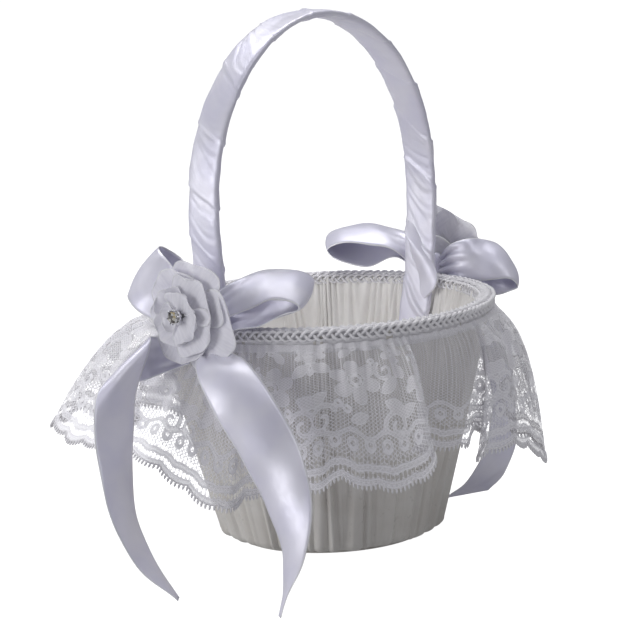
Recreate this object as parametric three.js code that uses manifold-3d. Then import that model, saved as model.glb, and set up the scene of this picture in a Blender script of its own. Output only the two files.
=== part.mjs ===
// Flower girl basket: a satin-covered tapered tub with a gathered lining, a braided rim trim,
// a lace flounce, a fixed ribbon-wrapped handle, and a ribbon bow with a fabric flower at
// each foot of the handle. Millimetres, +Z up, origin at the centre of the underside.
import * as THREE from 'three';
import { mergeVertices } from 'three/addons/utils/BufferGeometryUtils.js';
import Module from 'manifold-3d';

// ---- Driving dimensions ----
const BASE_RADIUS = 46.5;         // satin surface where the wall line meets the ground
const RIM_RADIUS = 74.4;          // satin surface at the rim
const RIM_HEIGHT = 104;           // height of the finished rim
const TURN_STEPS = 48;            // facets round every turned shell
const GAP = 0.25;                 // clearance between neighbouring layers

const COVER_THICKNESS = 0.6;      // gathered satin outside
const COVER_GAP = 1.0;            // room for the rivet heads under the satin
const TUB_THICKNESS = 1.2;        // moulded tub wall
const LINING_THICKNESS = 0.4;     // gathered satin inside
const WALL_TOP = 103.4;           // top edge of the tub and the lining
const COVER_TOP = 103;
const FLOOR_BOTTOM = 2.3;         // underside of the tub floor
const FLOOR_TOP = 3.8;

const LEG_INSET = 7.2;            // wall surface to handle centre, measured at the rim
const LEG_BOTTOM = 60;            // height of the handle ends inside the tub
const SPRING_HEIGHT = 152;        // where the straight legs turn into the arch
const SPRING_HALF_SPAN = 71.5;
const ARCH_RISE = 79;
const BAND_WIDTH = 17;            // wrapped handle, across
const BAND_THICKNESS = 2.8;
const WRAP_WALL = 0.35;
const CORE_WIDTH = 15.5;
const CORE_THICKNESS = 1;

const RIVET_HEIGHTS = [70, 88];
const RIVET_SHANK = 0.9;          // radii
const RIVET_HOLE = 1.25;
const RIVET_HEAD = 2.2;
const RIVET_HEAD_THICKNESS = 0.4;

const RIBBON_THICKNESS = 0.5;
const KNOT_HALF_SIZE = [2.5, 4, 7];
const KNOT_X = 79.5;
const KNOT_Z = 107;

const FLOUNCE_THICKNESS = 0.6;
const FLOUNCE_WAVES = 12;
const FLOUNCE_WAVE_HEIGHT = 5;
const FLOUNCE_STEPS = 96;
const FLOUNCE_ROWS = 3;

const SLOPE = (RIM_RADIUS - BASE_RADIUS) / RIM_HEIGHT;
const SLOPE_ANGLE = Math.atan(SLOPE);
const COVER_INNER = COVER_THICKNESS;
const TUB_OUTER = COVER_INNER + COVER_GAP;
const TUB_INNER = TUB_OUTER + TUB_THICKNESS;
const LINING_OUTER = TUB_INNER + GAP;
const LINING_INNER = LINING_OUTER + LINING_THICKNESS;

const wasm = await Module();
wasm.setup();
const group = new THREE.Group();

const SATIN = { color: 0xe9e6e0, roughness: 0.35, metalness: 0 };
const RIBBON = { color: 0xe4e3f2, roughness: 0.3, metalness: 0 };
const LACE = { color: 0xe8e7ea, roughness: 0.8, metalness: 0 };
const BRAID = { color: 0xe2e0da, roughness: 0.6, metalness: 0 };
const PETAL = { color: 0xeceaf0, roughness: 0.6, metalness: 0 };
const FELT = { color: 0xf0eff0, roughness: 0.95, metalness: 0 };
const PLASTIC = { color: 0xefeeea, roughness: 0.5, metalness: 0 };
const STRIP = { color: 0xdbd6cc, roughness: 0.6, metalness: 0 };
const BRASS = { color: 0xc9a85a, roughness: 0.3, metalness: 1 };
const SILVER = { color: 0xd8d8dc, roughness: 0.15, metalness: 1 };
const CRYSTAL = { color: 0xf6f6fa, roughness: 0.03, metalness: 0 };

// Radius of a wall layer at height z, set in from the satin surface.
function wallRadius(z, inset) {
  return BASE_RADIUS + SLOPE * z - inset;
}

// Adds one named piece to the group.
function addPiece(name, geometry, finish, place = new THREE.Matrix4()) {
  const mesh = new THREE.Mesh(geometry, new THREE.MeshStandardMaterial(finish));
  mesh.name = name;
  mesh.applyMatrix4(place);
  group.add(mesh);
  return mesh;
}

function signedVolume(position, index) {
  const corner = [new THREE.Vector3(), new THREE.Vector3(), new THREE.Vector3()];
  let volume = 0;
  for (let i = 0; i < index.length; i += 3) {
    corner.forEach((point, k) => point.fromBufferAttribute(position, index[i + k]));
    volume += corner[0].dot(corner[1].cross(corner[2])) / 6;
  }
  return volume;
}

// Joins shared corners, drops empty triangles and turns the faces outward.
function closeSolid(geometry) {
  geometry.deleteAttribute('normal');
  geometry.deleteAttribute('uv');
  const merged = mergeVertices(geometry, 1e-4);
  const source = merged.index.array;
  const index = [];
  for (let i = 0; i < source.length; i += 3) {
    const [a, b, c] = [source[i], source[i + 1], source[i + 2]];
    if (a !== b && b !== c && c !== a) index.push(a, b, c);
  }
  if (signedVolume(merged.attributes.position, index) < 0) index.reverse();
  merged.setIndex(index);
  merged.computeVertexNormals();
  return merged;
}

// Turned solid about +Z from [radius, height] points. An open profile starts and ends on the
// axis; a ring's profile closes on itself.
function turned(profile, steps = TURN_STEPS) {
  const points = profile.map(([radius, height]) => new THREE.Vector2(radius, height));
  const onAxis = profile[0][0] === 0 && profile.at(-1)[0] === 0;
  if (!onAxis) points.push(points[0].clone());
  return closeSolid(new THREE.LatheGeometry(points, steps).rotateX(Math.PI / 2));
}

// Closed solid through matching rings of points; the ends are capped, or the last ring joins
// the first.
function loft(rings, joined = false) {
  const count = rings[0].length;
  const vertices = rings.flat().flatMap((point) => point.toArray());
  const index = [];
  const last = joined ? rings.length : rings.length - 1;
  for (let i = 0; i < last; i += 1) {
    const next = (i + 1) % rings.length;
    for (let k = 0; k < count; k += 1) {
      const turn = (k + 1) % count;
      const [a, b] = [i * count + k, i * count + turn];
      const [c, d] = [next * count + k, next * count + turn];
      index.push(a, b, d, a, d, c);
    }
  }
  if (!joined) {
    const end = (rings.length - 1) * count;
    for (let k = 1; k < count - 1; k += 1) {
      index.push(0, k + 1, k);
      index.push(end, end + k, end + k + 1);
    }
  }
  const geometry = new THREE.BufferGeometry();
  geometry.setAttribute('position', new THREE.Float32BufferAttribute(vertices, 3));
  geometry.setIndex(index);
  return closeSolid(geometry);
}

// A thin body between two grids of points. Both faces are split along the same diagonals, so that
// they never cross where the sheet twists.
function thinBody(front, back, wrapped) {
  const rows = front.length;
  const columns = front[0].length;
  const at = (i, j, side) => (((i % rows) * columns) + j) * 2 + side;
  const index = [];
  const quad = (a, b, c, d) => index.push(a, b, c, a, c, d);
  const lastColumn = columns - 1;
  const lastRow = rows - 1;
  for (let i = 0; i < (wrapped ? rows : lastRow); i += 1) {
    for (let j = 0; j < lastColumn; j += 1) {
      quad(at(i, j, 0), at(i + 1, j, 0), at(i + 1, j + 1, 0), at(i, j + 1, 0));
      quad(at(i, j, 1), at(i, j + 1, 1), at(i + 1, j + 1, 1), at(i + 1, j, 1));
    }
    quad(at(i, 0, 1), at(i + 1, 0, 1), at(i + 1, 0, 0), at(i, 0, 0));
    quad(at(i, lastColumn, 0), at(i + 1, lastColumn, 0), at(i + 1, lastColumn, 1), at(i, lastColumn, 1));
  }
  for (let j = 0; j < (wrapped ? 0 : lastColumn); j += 1) {
    quad(at(0, j, 0), at(0, j + 1, 0), at(0, j + 1, 1), at(0, j, 1));
    quad(at(lastRow, j, 1), at(lastRow, j + 1, 1), at(lastRow, j + 1, 0), at(lastRow, j, 0));
  }
  const vertices = [];
  for (let i = 0; i < rows; i += 1) {
    for (let j = 0; j < columns; j += 1) vertices.push(...front[i][j].toArray(), ...back[i][j].toArray());
  }
  const geometry = new THREE.BufferGeometry();
  geometry.setAttribute('position', new THREE.Float32BufferAttribute(vertices, 3));
  geometry.setIndex(index);
  return closeSolid(geometry);
}

// Thin curved sheet of even thickness over surface(u, v), both from 0 to 1. A wrapped sheet
// closes on itself in u.
function sheet(surface, uSteps, vSteps, thickness, wrapped = false) {
  const small = 1e-3;
  const point = (u, v, side) => {
    const at = surface(u, v);
    const alongU = surface(u + small, v).sub(surface(u - small, v));
    const alongV = surface(u, v + small).sub(surface(u, v - small));
    return at.addScaledVector(alongU.cross(alongV).normalize(), (side * thickness) / 2);
  };
  const rows = Array.from({ length: wrapped ? uSteps : uSteps + 1 }, (_, i) => i / uSteps);
  const columns = Array.from({ length: vSteps + 1 }, (_, j) => j / vSteps);
  const face = (side) => rows.map((u) => columns.map((v) => point(u, v, side)));
  return thinBody(face(1), face(-1), wrapped);
}

function toManifold(geometry) {
  return new wasm.Manifold(new wasm.Mesh({
    numProp: 3,
    vertProperties: new Float32Array(geometry.attributes.position.array),
    triVerts: new Uint32Array(geometry.index.array),
  }));
}

// Cuts each tool out of a solid.
function cut(geometry, tools) {
  let solid = toManifold(geometry);
  for (const tool of tools) solid = solid.subtract(toManifold(tool));
  const mesh = solid.getMesh();
  const result = new THREE.BufferGeometry();
  result.setAttribute('position', new THREE.BufferAttribute(mesh.vertProperties, 3));
  result.setIndex(new THREE.BufferAttribute(mesh.triVerts, 1));
  return closeSolid(result);
}

// ---- Handle: a flat core bent to an arch, wrapped in ribbon, riveted inside the tub wall ----

// Half of the handle's centre line in the XZ plane, from the foot up to the crown.
function halfHandleLine() {
  const rimX = RIM_RADIUS - LEG_INSET;
  const points = [];
  for (const height of [LEG_BOTTOM, 75, 90, RIM_HEIGHT]) {
    points.push([rimX + SLOPE * (height - RIM_HEIGHT), height]);
  }
  points.push([69.3, 118], [70.9, 134]);
  const archSteps = 9;
  for (let i = 0; i <= archSteps; i += 1) {
    const angle = (i / archSteps) * (Math.PI / 2);
    points.push([SPRING_HALF_SPAN * Math.cos(angle), SPRING_HEIGHT + ARCH_RISE * Math.sin(angle)]);
  }
  return points;
}

function handleLine() {
  const half = halfHandleLine();
  const left = half.map(([x, z]) => new THREE.Vector3(-x, 0, z));
  const right = half.slice(0, -1).reverse().map(([x, z]) => new THREE.Vector3(x, 0, z));
  return [...left, ...right];
}

// Rectangular sections across the handle: half width, and the faces' distances from the centre
// line, positive away from the middle of the arch.
function handleSections(halfWidth, innerFace, outerFace, trim = 0) {
  const line = handleLine();
  return line.map((point, i) => {
    const before = line[Math.max(i - 1, 0)];
    const after = line[Math.min(i + 1, line.length - 1)];
    const along = after.clone().sub(before).normalize();
    const outward = new THREE.Vector3(-along.z, 0, along.x);
    const shift = i === 0 ? trim : (i === line.length - 1 ? -trim : 0);
    const centre = point.clone().addScaledVector(along, shift);
    const corner = (side, face) => centre.clone().addScaledVector(outward, face)
      .add(new THREE.Vector3(0, side * halfWidth, 0));
    return [corner(-1, innerFace), corner(1, innerFace), corner(1, outerFace), corner(-1, outerFace)];
  });
}

const WRAP_FACE = BAND_THICKNESS / 2;
const CAVITY_FACE = WRAP_FACE - WRAP_WALL;
const CORE_OUTER = CAVITY_FACE - GAP;
const CORE_INNER = CORE_OUTER - CORE_THICKNESS;

function handleCore() {
  return loft(handleSections(CORE_WIDTH / 2, CORE_INNER, CORE_OUTER, 1));
}

function handleWrap() {
  const outside = handleSections(BAND_WIDTH / 2, -WRAP_FACE, WRAP_FACE);
  const inside = handleSections(BAND_WIDTH / 2 - WRAP_WALL, -CAVITY_FACE, CAVITY_FACE);
  return loft([...outside, ...inside.reverse()], true);
}

// Places a tool made along +Z on the handle's centre line, pointing out through the wall.
function throughWall(side, height) {
  const x = RIM_RADIUS - LEG_INSET + SLOPE * (height - RIM_HEIGHT);
  const tilt = new THREE.Matrix4().makeRotationY(side * (Math.PI / 2 + SLOPE_ANGLE));
  return new THREE.Matrix4().makeTranslation(side * x, 0, height).multiply(tilt);
}

const TUB_FACE = (LEG_INSET - TUB_OUTER) * Math.cos(SLOPE_ANGLE);   // from the handle's centre

function rivet() {
  const innerHead = CORE_INNER - GAP;
  const outerHead = TUB_FACE + 0.2;
  return turned([
    [0, innerHead - RIVET_HEAD_THICKNESS], [RIVET_HEAD, innerHead - RIVET_HEAD_THICKNESS],
    [RIVET_HEAD, innerHead], [RIVET_SHANK, innerHead],
    [RIVET_SHANK, outerHead], [RIVET_HEAD, outerHead],
    [RIVET_HEAD, outerHead + RIVET_HEAD_THICKNESS], [0, outerHead + RIVET_HEAD_THICKNESS],
  ], 12);
}

function rivetHole(start, end) {
  return turned([[0, start], [RIVET_HOLE, start], [RIVET_HOLE, end], [0, end]], 12);
}

// Rivet holes at all four rivets, from start to end along each rivet.
function rivetHoles(start, end) {
  const tools = [];
  for (const side of [-1, 1]) {
    for (const height of RIVET_HEIGHTS) {
      tools.push(closeSolid(rivetHole(start, end).applyMatrix4(throughWall(side, height))));
    }
  }
  return tools;
}

function addHandle() {
  const pastCore = CAVITY_FACE + WRAP_WALL + 0.5;
  addPiece('handle_core', cut(handleCore(), rivetHoles(CORE_INNER - 0.1, pastCore)), STRIP);
  addPiece('handle_wrap', cut(handleWrap(), rivetHoles(0, pastCore)), RIBBON);
  for (const [side, name] of [[-1, 'near'], [1, 'far']]) {
    RIVET_HEIGHTS.forEach((height, i) => {
      const label = i === 0 ? 'lower' : 'upper';
      addPiece(`${name}_${label}_rivet`, rivet(), BRASS, throughWall(side, height));
    });
  }
}

// ---- Tub, satin cover, lining and bottom ----

function wallPoint(height, inset) {
  return [wallRadius(height, inset), height];
}

function tub() {
  return turned([
    [0, FLOOR_BOTTOM], [43, FLOOR_BOTTOM], wallPoint(5, TUB_OUTER), wallPoint(WALL_TOP, TUB_OUTER),
    wallPoint(WALL_TOP, TUB_INNER), wallPoint(5.5, TUB_INNER), [42.2, FLOOR_TOP], [0, FLOOR_TOP],
  ]);
}

// The satin runs down the wall, round the bottom corner and under the tub as a turned-in hem.
function outerCover() {
  const hemRadius = 34;
  return turned([
    [hemRadius, 1.25], [43.6, 1.25], [46.4, 3], wallPoint(6, 0), wallPoint(COVER_TOP, 0),
    wallPoint(COVER_TOP, COVER_INNER), wallPoint(6, COVER_INNER), [45.9, 3.5], [43.4, 1.85],
    [hemRadius, 1.85],
  ]);
}

function lining() {
  const hemRadius = 30;
  return turned([
    [hemRadius, 4.05], [41.8, 4.1], wallPoint(6.2, LINING_OUTER), wallPoint(WALL_TOP, LINING_OUTER),
    wallPoint(WALL_TOP, LINING_INNER), wallPoint(6.5, LINING_INNER), [41.6, 4.6], [hemRadius, 4.5],
  ]);
}

function liningFloor() {
  return turned([[0, 4.85], [40.5, 4.85], [41.6, 5.8], [40.8, 6.7], [0, 7]]);
}

function baseDisc() {
  return turned([[0, 0], [41.4, 0], [42, 0.5], [41.6, 1], [0, 1]]);
}

function addTub() {
  const throughTub = TUB_FACE + 1;
  const holes = () => rivetHoles(WRAP_FACE + 0.2, throughTub);
  addPiece('tub', cut(tub(), holes()), PLASTIC);
  addPiece('lining', cut(lining(), holes()), SATIN);
  addPiece('outer_cover', outerCover(), SATIN);
  addPiece('lining_floor', liningFloor(), SATIN);
  addPiece('base_disc', baseDisc(), SATIN);
}

// ---- Rim trim ----

// The braid folds over the rim: a deep side outside, the top, and a shallow side inside.
function rimBraid() {
  const outside = COVER_THICKNESS + wallRadius(COVER_TOP, 0) - 0.33;
  return turned([
    [outside, 99.8], [outside + 1.7, 99.8], [outside + 1.9, 104.2], [outside + 1, 105],
    [70.3, 105], [69.6, 104.3], [68.8, 100.2], [69.55, 100.2], [70.45, 103.65], [outside, 103.65],
  ]);
}

function laceBinding() {
  const [bottom, top] = [94.5, 98.6];
  return turned([
    wallPoint(bottom, -GAP), wallPoint(bottom, -GAP - 0.4),
    wallPoint(top, -GAP - 0.4), wallPoint(top, -GAP),
  ]);
}

// How the flounce hangs round the rim: angle in degrees, then the reach and drop of the hem
// and of the shoulder, from the stitched top edge.
const FLOUNCE_HANG = [
  [0, 25, 62, 3, 18],
  [25, 26, 60, 8, 10],
  [50, 26, 58, 14, 6],
  [90, 33, 52, 18, 4],
  [128, 47, 42, 25, 2],
  [155, 42, 43, 16, 8],
  [178, 31, 50, 3, 18],
  [200, 19, 58, 4, 16],
  [222, 12, 60, 8, 9],
  [262, 12, 60, 8, 9],
  [288, 16, 66, 12, 8],
  [312, 20, 70, 16, 7],
  [340, 24, 64, 9, 12],
];

function hangAt(degrees) {
  const around = ((degrees % 360) + 360) % 360;
  const next = FLOUNCE_HANG.findIndex(([key]) => key > around);
  const after = next < 0 ? FLOUNCE_HANG[0] : FLOUNCE_HANG[next];
  const before = FLOUNCE_HANG.at(next < 0 ? -1 : next - 1);
  const span = ((after[0] - before[0] + 360) % 360) || 360;
  const t = THREE.MathUtils.smoothstep(around - before[0], 0, span);
  return before.slice(1).map((value, i) => value + (after[i + 1] - value) * t);
}

function flounceSurface(u, v) {
  const angle = u * 2 * Math.PI;
  const [hemReach, hemDrop, shoulderReach, shoulderDrop] = hangAt(u * 360);
  const top = [wallRadius(98.6, 0) + 1.3, 98.6];
  const middle = 2 * v * (1 - v);
  const reach = middle * shoulderReach + v * v * hemReach;
  const drop = middle * shoulderDrop + v * v * hemDrop;
  const steep = Math.atan2(hemReach, hemDrop);
  const wave = FLOUNCE_WAVE_HEIGHT * Math.max(v, 0) ** 1.3 * Math.cos(FLOUNCE_WAVES * angle);
  const radius = top[0] + reach + wave * Math.cos(steep);
  const height = top[1] - drop + wave * Math.sin(steep);
  return new THREE.Vector3(radius * Math.cos(angle), radius * Math.sin(angle), height);
}

function addRimTrim() {
  addPiece('rim_braid', rimBraid(), BRAID);
  addPiece('lace_binding', laceBinding(), LACE);
  const flounce = sheet(flounceSurface, FLOUNCE_STEPS, FLOUNCE_ROWS, FLOUNCE_THICKNESS, true);
  addPiece('lace_flounce', flounce, LACE);
}

// ---- Bows: ribbon strips through hand-set stations ----
// A station is the centre [x, y, z], the direction across the ribbon [x, y, z] and its width.

const RIBBONS = {
  near_front_loop: [
    [-79, -5, 106.5, 0.1, 0, 1, 11], [-72.5, -16, 111, 0.66, 0.41, 0.63, 17],
    [-63, -24, 111, 0.82, 0.47, 0.32, 24], [-56, -32, 113.5, 0.86, 0.49, 0.13, 25],
    [-51, -37, 118, 0.87, 0.39, 0.29, 25], [-54, -32, 122, 0.85, 0.4, 0.35, 25],
    [-60, -23.5, 122, 0.74, 0.55, 0.39, 24], [-71.5, -15.5, 118, 0.5, 0.4, 0.75, 17],
    [-80.5, -5, 111, 0.1, 0, 1, 11],
  ],
  near_back_loop: [
    [-80.5, 5, 110, 0.2, 0, 1, 11], [-79.5, 13, 113.5, 0.45, -0.3, 0.8, 17],
    [-80.5, 22, 120, 0.5, -0.35, 0.8, 24], [-79, 30, 125, 0.45, -0.39, 0.8, 25],
    [-75, 35, 126.5, 0.43, -0.42, 0.8, 25], [-69.5, 36, 125, 0.45, -0.44, 0.78, 25],
    [-68, 28, 121, 0.45, -0.5, 0.74, 24], [-72.5, 15, 115.5, 0.41, -0.45, 0.8, 17],
    [-78.5, 5, 109, 0.1, 0, 1, 11],
  ],
  far_front_loop: [
    [79, -5, 106.5, 0.1, 0, 1, 11], [80, -14, 108, 0.1, 0.3, 0.95, 17],
    [84, -22, 105.5, 0.1, 0.3, 0.95, 23], [92, -31, 102.5, 0.38, 0.54, 0.75, 24],
    [99, -34, 103.5, 0.42, 0.6, 0.68, 24], [92, -32, 108.5, 0.36, 0.57, 0.74, 24],
    [80, -22, 110, 0.05, 0.25, 0.95, 20], [77.5, -12, 111, 0.05, 0.2, 0.97, 15],
    [77.2, -5, 108, 0.1, 0, 1, 10],
  ],
  far_back_loop: [
    [79, 5, 106.5, 0.1, 0, 1, 11], [76, 17, 116, 0.75, 0.4, 0.52, 17],
    [70, 29, 113.5, 0.84, 0.35, 0.41, 24], [65, 42, 115.5, 0.87, 0.4, 0.3, 25],
    [64, 51, 118, 0.8, 0.57, 0.17, 25], [66, 43, 121.5, 0.88, 0.46, 0.16, 25],
    [70, 30, 122, 0.84, 0.47, 0.27, 24], [75, 16, 118.5, 0.81, 0.43, 0.39, 18],
    [77.5, 5, 111, 0.1, 0, 1, 11],
  ],
  near_back_tail: [
    [-80, 3, 94.5, 0.1, -0.3, 0.95, 10], [-83, 9.5, 94, 0.2, -0.25, 0.93, 15],
    [-89.5, 20, 92, 0.3, -0.05, 0.95, 19], [-105, 16, 93, 0.85, -0.2, 0.5, 25],
    [-117, 13.5, 79, 1, 0, 0.05, 25], [-125, 7, 59, 0.98, 0.19, 0, 25],
    [-130, 0, 39, 0.94, 0.34, 0, 25], [-130, -10, 19, 0.86, 0.51, 0.1, 20],
    [-126, -26, 1.5, 0.81, 0.57, 0.05, 5],
  ],
  near_front_tail: [
    [-80.5, -6, 96, 0.3, -0.9, 0.2, 9], [-84.5, -14, 95, 0.6, -0.75, 0.15, 16],
    [-91, -25, 91, 0.66, -0.73, 0.2, 22], [-94, -38, 79, 0.57, -0.77, 0.28, 25],
    [-93, -51, 60, 0.44, -0.85, 0.3, 25], [-94, -61, 39, 0.05, -0.99, 0.15, 25],
    [-101, -68, 20, -0.4, -0.91, 0, 20], [-122, -79, 1.5, -0.67, -0.74, 0, 5],
  ],
  far_front_tail: [
    [80.5, -6, 96, 0.2, -0.95, 0.2, 9], [88, -11, 93, 0.4, -0.9, 0.1, 16],
    [99, -16, 80, 0.4, -0.9, 0, 22], [106, -20, 60, 0.45, -0.9, 0, 25],
    [107, -22, 40, 0.5, -0.85, 0, 25], [101, -20, 21, 0.6, -0.8, 0, 25],
    [90, -18, 8, 0.67, -0.74, 0, 25], [76, -16, 1.5, 0.67, -0.74, 0, 22],
  ],
  far_back_tail: [
    [80.5, 6, 96, 0.2, 0.95, 0.2, 9], [89, 12, 93, 0.4, 0.9, 0.1, 16],
    [101, 20, 80, 0.35, 0.93, 0, 22], [108, 27, 60, 0.3, 0.95, 0, 25],
    [109, 33, 40, 0.3, 0.95, 0, 25], [106, 37, 21, 0.3, 0.95, 0.1, 20],
    [101, 38, 2, 0.3, 0.95, 0.1, 5],
  ],
};

// A strip of ribbon: its centre, cross direction and width run smoothly between the stations.
function ribbonStrip(stations) {
  const stepsPerStation = 2;
  const centre = new THREE.CatmullRomCurve3(stations.map(([x, y, z]) => new THREE.Vector3(x, y, z)));
  const across = new THREE.CatmullRomCurve3(
    stations.map((s) => new THREE.Vector3(s[3], s[4], s[5]).normalize()),
  );
  const width = new THREE.CatmullRomCurve3(stations.map((s) => new THREE.Vector3(s[6], 0, 0)));
  const count = (stations.length - 1) * stepsPerStation;
  const face = (front) => Array.from({ length: count + 1 }, (_, i) => {
    const t = i / count;
    const side = across.getPoint(t).normalize();
    const out = centre.getTangent(t).cross(side).normalize();
    const edge = (sign) => centre.getPoint(t).addScaledVector(side, (sign * width.getPoint(t).x) / 2)
      .addScaledVector(out, (front * RIBBON_THICKNESS) / 2);
    return [edge(-1), edge(1)];
  });
  return thinBody(face(1), face(-1), false);
}

function addBows() {
  for (const [side, name] of [[-1, 'near'], [1, 'far']]) {
    const knot = closeSolid(new THREE.SphereGeometry(1, 12, 8).scale(...KNOT_HALF_SIZE));
    const place = new THREE.Matrix4().makeTranslation(side * KNOT_X, 0, KNOT_Z);
    addPiece(`${name}_bow_knot`, knot, RIBBON, place);
  }
  for (const [name, stations] of Object.entries(RIBBONS)) {
    addPiece(name, ribbonStrip(stations), RIBBON);
  }
}

// ---- Flowers: a felt disc, three whorls of petals, and a stone in a claw cup ----
// Each whorl: name, petal count, root radius, tip radius, half width, root height, rise, turn.

const WHORLS = [
  ['outer', 5, 3, 20, 11.5, 0.9, 6, 0.12],
  ['middle', 4, 3, 15, 8.5, 2.6, 7, 0.8],
  ['inner', 3, 3.6, 9, 6, 4.6, 5, 0.2],
];
const FLOWERS = [
  { name: 'near', at: [-83.4, 0, 112], facing: [-1, 0, 0] },
  { name: 'far', at: [83.6, 0, 113], facing: [0.93, 0, 0.37] },
];

function petal(count, root, tip, halfWidth, height, rise) {
  const surface = (u, v) => {
    const along = root + (tip - root) * v;
    const room = along * Math.tan(Math.PI / count) - 0.4;
    const outline = halfWidth * Math.sin(Math.PI * (0.12 + 0.72 * v));
    const across = (2 * u - 1) * Math.min(outline, room);
    const lift = height + rise * (along / tip) ** 2 + 0.02 * across * across;
    return new THREE.Vector3(along, across, lift);
  };
  return sheet(surface, 3, 4, 0.5);
}

function clawCup() {
  return turned([
    [0, 0.4], [1.3, 0.4], [1.3, 7], [3, 8], [3.2, 10], [2.9, 10], [2.6, 8.9], [0, 8.6],
  ], 12);
}

function cutStone() {
  return turned([[0, 9.1], [2.45, 10.3], [2.45, 10.7], [1.5, 11.6], [0, 11.6]], 8);
}

function flowerFrame({ at, facing }) {
  const outward = new THREE.Vector3(...facing).normalize();
  const sideways = new THREE.Vector3(0, 1, 0);
  const across = outward.clone().cross(sideways);
  return new THREE.Matrix4().makeBasis(sideways, across, outward).setPosition(...at);
}

function addFlower(flower) {
  const frame = flowerFrame(flower);
  const { name } = flower;
  addPiece(`${name}_flower_backing`, turned([[0, -1], [10, -1], [10, 0], [0, 0]], 16), FELT, frame);
  for (const [whorl, count, root, tip, halfWidth, height, rise, turn] of WHORLS) {
    for (let i = 0; i < count; i += 1) {
      const spin = new THREE.Matrix4().makeRotationZ(turn + (i * 2 * Math.PI) / count);
      const shape = petal(count, root, tip, halfWidth, height, rise);
      addPiece(`${name}_${whorl}_petal_${i + 1}`, shape, PETAL, frame.clone().multiply(spin));
    }
  }
  addPiece(`${name}_stone_setting`, clawCup(), SILVER, frame);
  addPiece(`${name}_stone`, cutStone(), CRYSTAL, frame);
}

addTub();
addHandle();
addRimTrim();
addBows();
FLOWERS.forEach(addFlower);

export default group;
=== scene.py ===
"""Flower girl basket: the looks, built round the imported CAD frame.

Shapes are worked out in millimetres and made in metres, in the frame's own axes.
"""
import math

import bpy
import numpy as np
from mathutils import Matrix, Vector


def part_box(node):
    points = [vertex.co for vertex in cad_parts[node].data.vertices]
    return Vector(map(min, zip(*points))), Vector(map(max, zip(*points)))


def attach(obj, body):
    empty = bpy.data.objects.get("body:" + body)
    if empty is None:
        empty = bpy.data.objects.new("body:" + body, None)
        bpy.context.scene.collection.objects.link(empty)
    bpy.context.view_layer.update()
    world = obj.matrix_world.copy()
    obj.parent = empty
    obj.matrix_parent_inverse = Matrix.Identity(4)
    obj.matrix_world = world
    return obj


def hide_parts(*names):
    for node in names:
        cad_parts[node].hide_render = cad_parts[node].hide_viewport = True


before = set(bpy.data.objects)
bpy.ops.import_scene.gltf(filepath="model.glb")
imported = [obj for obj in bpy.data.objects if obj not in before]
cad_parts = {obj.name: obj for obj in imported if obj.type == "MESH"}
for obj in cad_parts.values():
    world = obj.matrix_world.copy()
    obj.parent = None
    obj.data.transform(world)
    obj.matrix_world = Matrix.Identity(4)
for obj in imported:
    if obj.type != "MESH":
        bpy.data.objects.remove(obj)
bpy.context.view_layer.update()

MM = 0.001
TAU = 2 * math.pi


# ---- Sizes, from the frame ----

def node_points(node):
    """The corners of a CAD node in millimetres."""
    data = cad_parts[node].data
    flat = np.empty(len(data.vertices) * 3)
    data.vertices.foreach_get("co", flat)
    return flat.reshape(-1, 3) / MM


def box_mm(node):
    """The lowest and highest corners of a CAD node in millimetres."""
    low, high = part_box(node)
    return np.array(low) / MM, np.array(high) / MM


def turned_wall(node, low, high, side):
    """Wall line (radius at height 0, slope) of a turned node, outside (max) or inside (min)."""
    points = node_points(node)
    radius = np.hypot(points[:, 0], points[:, 1])
    ends = [side(radius[np.abs(points[:, 2] - height) < 0.3]) for height in (low, high)]
    slope = (ends[1] - ends[0]) / (high - low)
    return ends[0] - slope * low, slope


RIM_TOP = box_mm("rim_braid")[1][2]
RIM_OUTER = box_mm("rim_braid")[1][0]
BRAID_BOTTOM = box_mm("rim_braid")[0][2]
WALL_TOP = box_mm("tub")[1][2]
COVER_TOP = box_mm("outer_cover")[1][2]
COVER_BASE, COVER_SLOPE = turned_wall("outer_cover", 6, COVER_TOP, max)
LINING_BASE, LINING_SLOPE = turned_wall("lining", 6.5, WALL_TOP, min)
HEM_TOP = box_mm("lace_binding")[1][2]
BASE_RADIUS = box_mm("base_disc")[1][0]
BASE_THICKNESS = box_mm("base_disc")[1][2]
PAD_RADIUS = box_mm("lining_floor")[1][0]
PAD_BOTTOM, PAD_TOP = (box_mm("lining_floor")[i][2] for i in (0, 1))
BAND_WIDTH = 2 * box_mm("handle_wrap")[1][1]
BAND_THICKNESS = 2.8
LEG_BOTTOM = box_mm("handle_wrap")[0][2] + 0.4
HANDLE_SPAN = box_mm("handle_wrap")[1][0] - BAND_THICKNESS / 2
HANDLE_TOP = box_mm("handle_wrap")[1][2] - BAND_THICKNESS / 2
SPRING_HEIGHT = 152


# ---- Mesh helpers ----

def points_of(*parts):
    """Points from their coordinates, each a number, a row, a column or a grid."""
    return np.stack(np.broadcast_arrays(*parts), axis=-1)


def unit(vectors):
    return vectors / np.maximum(np.linalg.norm(vectors, axis=-1, keepdims=True), 1e-9)


def round_steps(count):
    """Even steps of one turn, as a column."""
    return np.arange(count)[:, None] / count


def turned_grid(turns, radius, height):
    """Points round the z axis."""
    return points_of(radius * np.cos(turns * TAU), radius * np.sin(turns * TAU), height)


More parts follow.
